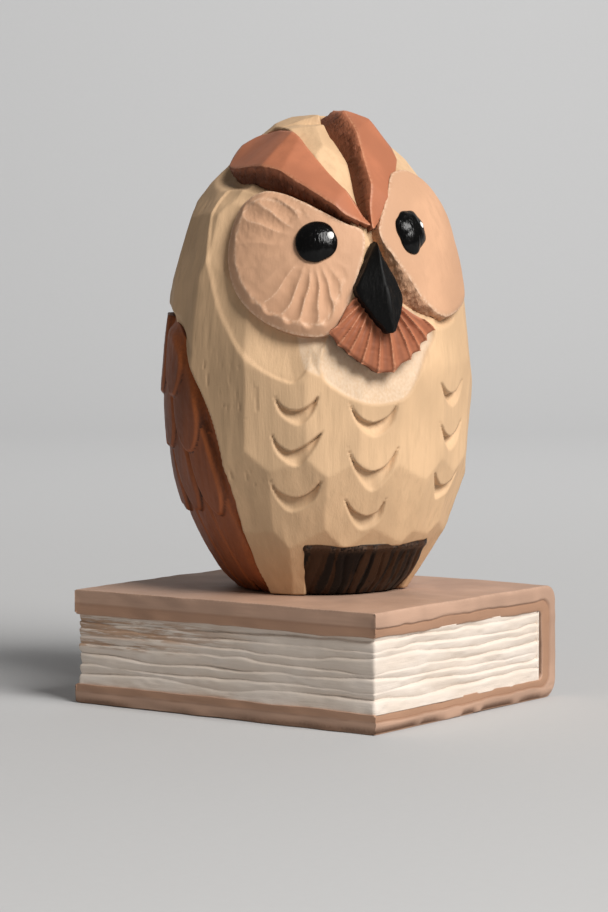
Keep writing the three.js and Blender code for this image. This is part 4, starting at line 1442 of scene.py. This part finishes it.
# %% Cover paint
def cover_bands(paint, base, specks, patches):
    """The lining band is darker. Along the lower edges the colour goes dark brown where knife nicks
    are cut: partly dark wood in the nicks, partly painted shade on the low edge.
    """
    base = paint.blend(paint.mark("band") * 0.75, base, tint(0.36, 0.195, 0.115))
    nick_and_low_shade = (paint.mark("nicks_and_low_shade") * (0.6 + specks)).clip()
    return paint.blend(nick_and_low_shade * 0.8, base, tint(0.16, 0.085, 0.05))


cover_paint = painted("cover_paint", tint(0.46, 0.292, 0.208), tint(0.22, 0.115, 0.07),
                      tint(0.62, 0.42, 0.31), streak=0.05, patch=0.05, cut_pool_and_shade=0.8, lip_worn=0.25,
                      rough=(0.5, 0.68), grain=0.03, extra=cover_bands, along=(6.0, 6.0, 0.5))

# %% Page paint
def page_streaks():
    pages = Finish("page_paint")
    x, y, z = (pages.node("ShaderNodeSeparateXYZ", {}, {"Vector": pages.place}, out=k)
               for k in range(3))
    dry = pages.noise((9, 9, 0.5), 4.0, 0.65)
    patches = pages.noise((12, 12, 5), 2.0, 0.5, 3.0)
    specks = pages.noise((0.6, 0.6, 0.4), 3.0, 0.6, 5.0)
    brush = pages.noise((5, 5, 0.35), 3.0, 0.6, 9.0)
    cuts = pages.mark("cut")
    base = pages.blend(patches.step(0.35, 0.7), tint(0.72, 0.62, 0.53), tint(0.78, 0.69, 0.61))
    base = pages.blend(brush.step(0.45, 0.75) * 0.25, base, tint(0.62, 0.52, 0.43))
    # The grooves between the leaves are darkened: partly paint pooled in them, partly painted shade in
    # the V grooves.
    base = pages.blend((cuts * (0.2 + 0.7 * patches)).clip() * 0.5, base, tint(0.50, 0.39, 0.31))

    fore_edge = (x * -1).step((-FORE - 2.5) * MM, (-FORE - 2.0) * MM)
    far_part = y.step(-12 * MM, 18 * MM)
    upper = z.step(12.8 * MM, 14 * MM) * (1 - z.step(16.6 * MM, 18.2 * MM))
    lower = z.step(10.8 * MM, 11.6 * MM) * (1 - z.step(12.4 * MM, 13.2 * MM)) * y.step(0.0, 20 * MM)
    skipped = dry.step(0.42, 0.54) * (upper * 0.95 + lower * 0.9) * far_part * fore_edge
    base = pages.blend(skipped.clip() * 0.85, base, tint(0.42, 0.235, 0.13))
    height = brush * 0.05 + specks * 0.03 + dry * 0.04 - skipped * 0.05
    return pages.surface(base, (0.5 + 0.3 * specks).clip(), height, 1.0)


page_paint = page_streaks()


def plain_wood():
    wood = Finish("bare_wood")
    grain = wood.noise((0.4, 0.4, 12), 4.0, 0.6)
    colour = wood.blend(grain.step(0.4, 0.7), tint(0.62, 0.42, 0.24), tint(0.74, 0.55, 0.34))
    return wood.surface(colour, (0.6 + 0.2 * grain).clip(), grain, 0.04)


bare_wood = plain_wood()
for name in ("front_dowel", "rear_dowel"):
    for slot in frame["nodes"][name].material_slots:
        slot.material = bare_wood

# %% Dress every piece
DRESS = [(owl_body, cream_paint, "cream_paint"),
         (left_face_disc, peach_paint, "peach_paint"),
         (right_face_disc, peach_paint, "peach_paint"),
         (left_brow, terracotta_paint, "terracotta_paint"),
         (right_brow, terracotta_paint, "terracotta_paint"),
         (chin_bib, terracotta_paint, "terracotta_paint"),
         (beak, black_paint, "black_paint"),
         (left_eye, gloss_black, "gloss_black"), (right_eye, gloss_black, "gloss_black"),
         (left_dot, white_dot_paint, "gloss_black"), (right_dot, white_dot_paint, "gloss_black"),
         (left_wing, wing_stain, "wing_stain"), (right_wing, wing_stain, "wing_stain"),
         (tail, wing_stain, "wing_stain"), (foot_block, foot_stain, "foot_stain"),
         (book_cover, cover_paint, "cover_paint"), (page_block, page_paint, "page_paint")]
for piece, finish, slot in DRESS:
    piece.data.materials.append(finish)
    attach(piece, "root")
print("pieces dressed:", len(DRESS))

# %% [markdown]
# ## The table, the light and the camera
#
# A single swept sheet makes the floor and the backdrop, so no horizon line shows. One large soft
# light stands high, to the right and in front. It gives the long soft shade on the left of the
# owl. A second light hangs behind the owl and faces away from it, so it lights only the
# backdrop. A weak sky fills the shadows.

# %% A swept floor
CAMERA_HEADING, CAMERA_DIP = radians(-54.12), radians(3.78)
HALF_WIDTH = 3
CURVE_START, CURVE_RADIUS = 0.9, 0.8
BACKDROP_AT = CURVE_START + CURVE_RADIUS


def swept_floor():
    """A sheet in metres, square to the camera: flat floor, quarter round, upright backdrop."""
    across = np.linspace(-HALF_WIDTH, HALF_WIDTH, 13)
    toward_back = np.linspace(0, pi / 2, 25)
    line = [(far, 0.0) for far in (-4, -1.5, -0.5, 0.3, CURVE_START)]
    line += [(CURVE_START + CURVE_RADIUS * sin(a), CURVE_RADIUS - CURVE_RADIUS * cos(a))
             for a in toward_back[1:]]
    line += [(BACKDROP_AT, 1.6), (BACKDROP_AT, 3.0)]
    ahead = Vector((-sin(CAMERA_HEADING), cos(CAMERA_HEADING), 0))
    right = Vector((cos(CAMERA_HEADING), sin(CAMERA_HEADING), 0))
    points = [tuple(ahead * far + right * side + Vector((0, 0, up)))
              for far, up in line for side in across]
    n = len(across)
    faces = [(r * n + c, r * n + c + 1, (r + 1) * n + c + 1, (r + 1) * n + c)
             for r in range(len(line) - 1) for c in range(n - 1)]
    mesh = bpy.data.meshes.new("floor_sweep")
    mesh.from_pydata(points, [], faces)
    mesh.polygons.foreach_set("use_smooth", [True] * len(faces))
    floor = bpy.data.objects.new("floor_sweep", mesh)
    bpy.context.scene.collection.objects.link(floor)
    return floor


floor = swept_floor()
paper = Finish("pale_paper")
tooth = paper.noise((2, 2, 2), 2.0)
shade = paper.blend(tooth, tint(0.505, 0.507, 0.51), tint(0.52, 0.522, 0.525))
floor.data.materials.append(paper.surface(shade, 0.9, tooth, 0.01, specular=0.1))

# %% Lights
def soft_light(name, at, aim, size, watts, colour):
    lamp = bpy.data.lights.new(name, "AREA")
    lamp.shape, lamp.size, lamp.energy, lamp.color = "SQUARE", size, watts, colour
    light = bpy.data.objects.new(name, lamp)
    light.location = at
    light.rotation_euler = (Vector(aim) - Vector(at)).to_track_quat("-Z", "Y").to_euler()
    bpy.context.scene.collection.objects.link(light)


soft_light("window", (-0.19, -1.05, 0.96), (0, 0, 0.05), 0.7, 27, (1.0, 0.98, 0.955))
soft_light("backdrop_wash", (0.43, 0.0, 1.3), (1.42, 1.03, 0.95), 0.8, 18, (1, 1, 1))
world = bpy.data.worlds.new("soft_sky")
bpy.context.scene.world = world
world.use_nodes = True
world.node_tree.nodes["Background"].inputs["Color"].default_value = (1.0, 0.975, 0.95, 1.0)
world.node_tree.nodes["Background"].inputs["Strength"].default_value = 0.13
bpy.context.scene.view_settings.view_transform = "Standard"

# %% Camera
lens = bpy.data.cameras.new("camera")
lens.lens, lens.sensor_width, lens.clip_start, lens.clip_end = 120, 36, 0.05, 20
camera = bpy.data.objects.new("camera", lens)
camera.location = (-0.48658, -0.34865, 0.08786)
camera.rotation_euler = (pi / 2 - CAMERA_DIP, 0, CAMERA_HEADING)
bpy.context.scene.collection.objects.link(camera)
bpy.context.scene.camera = camera
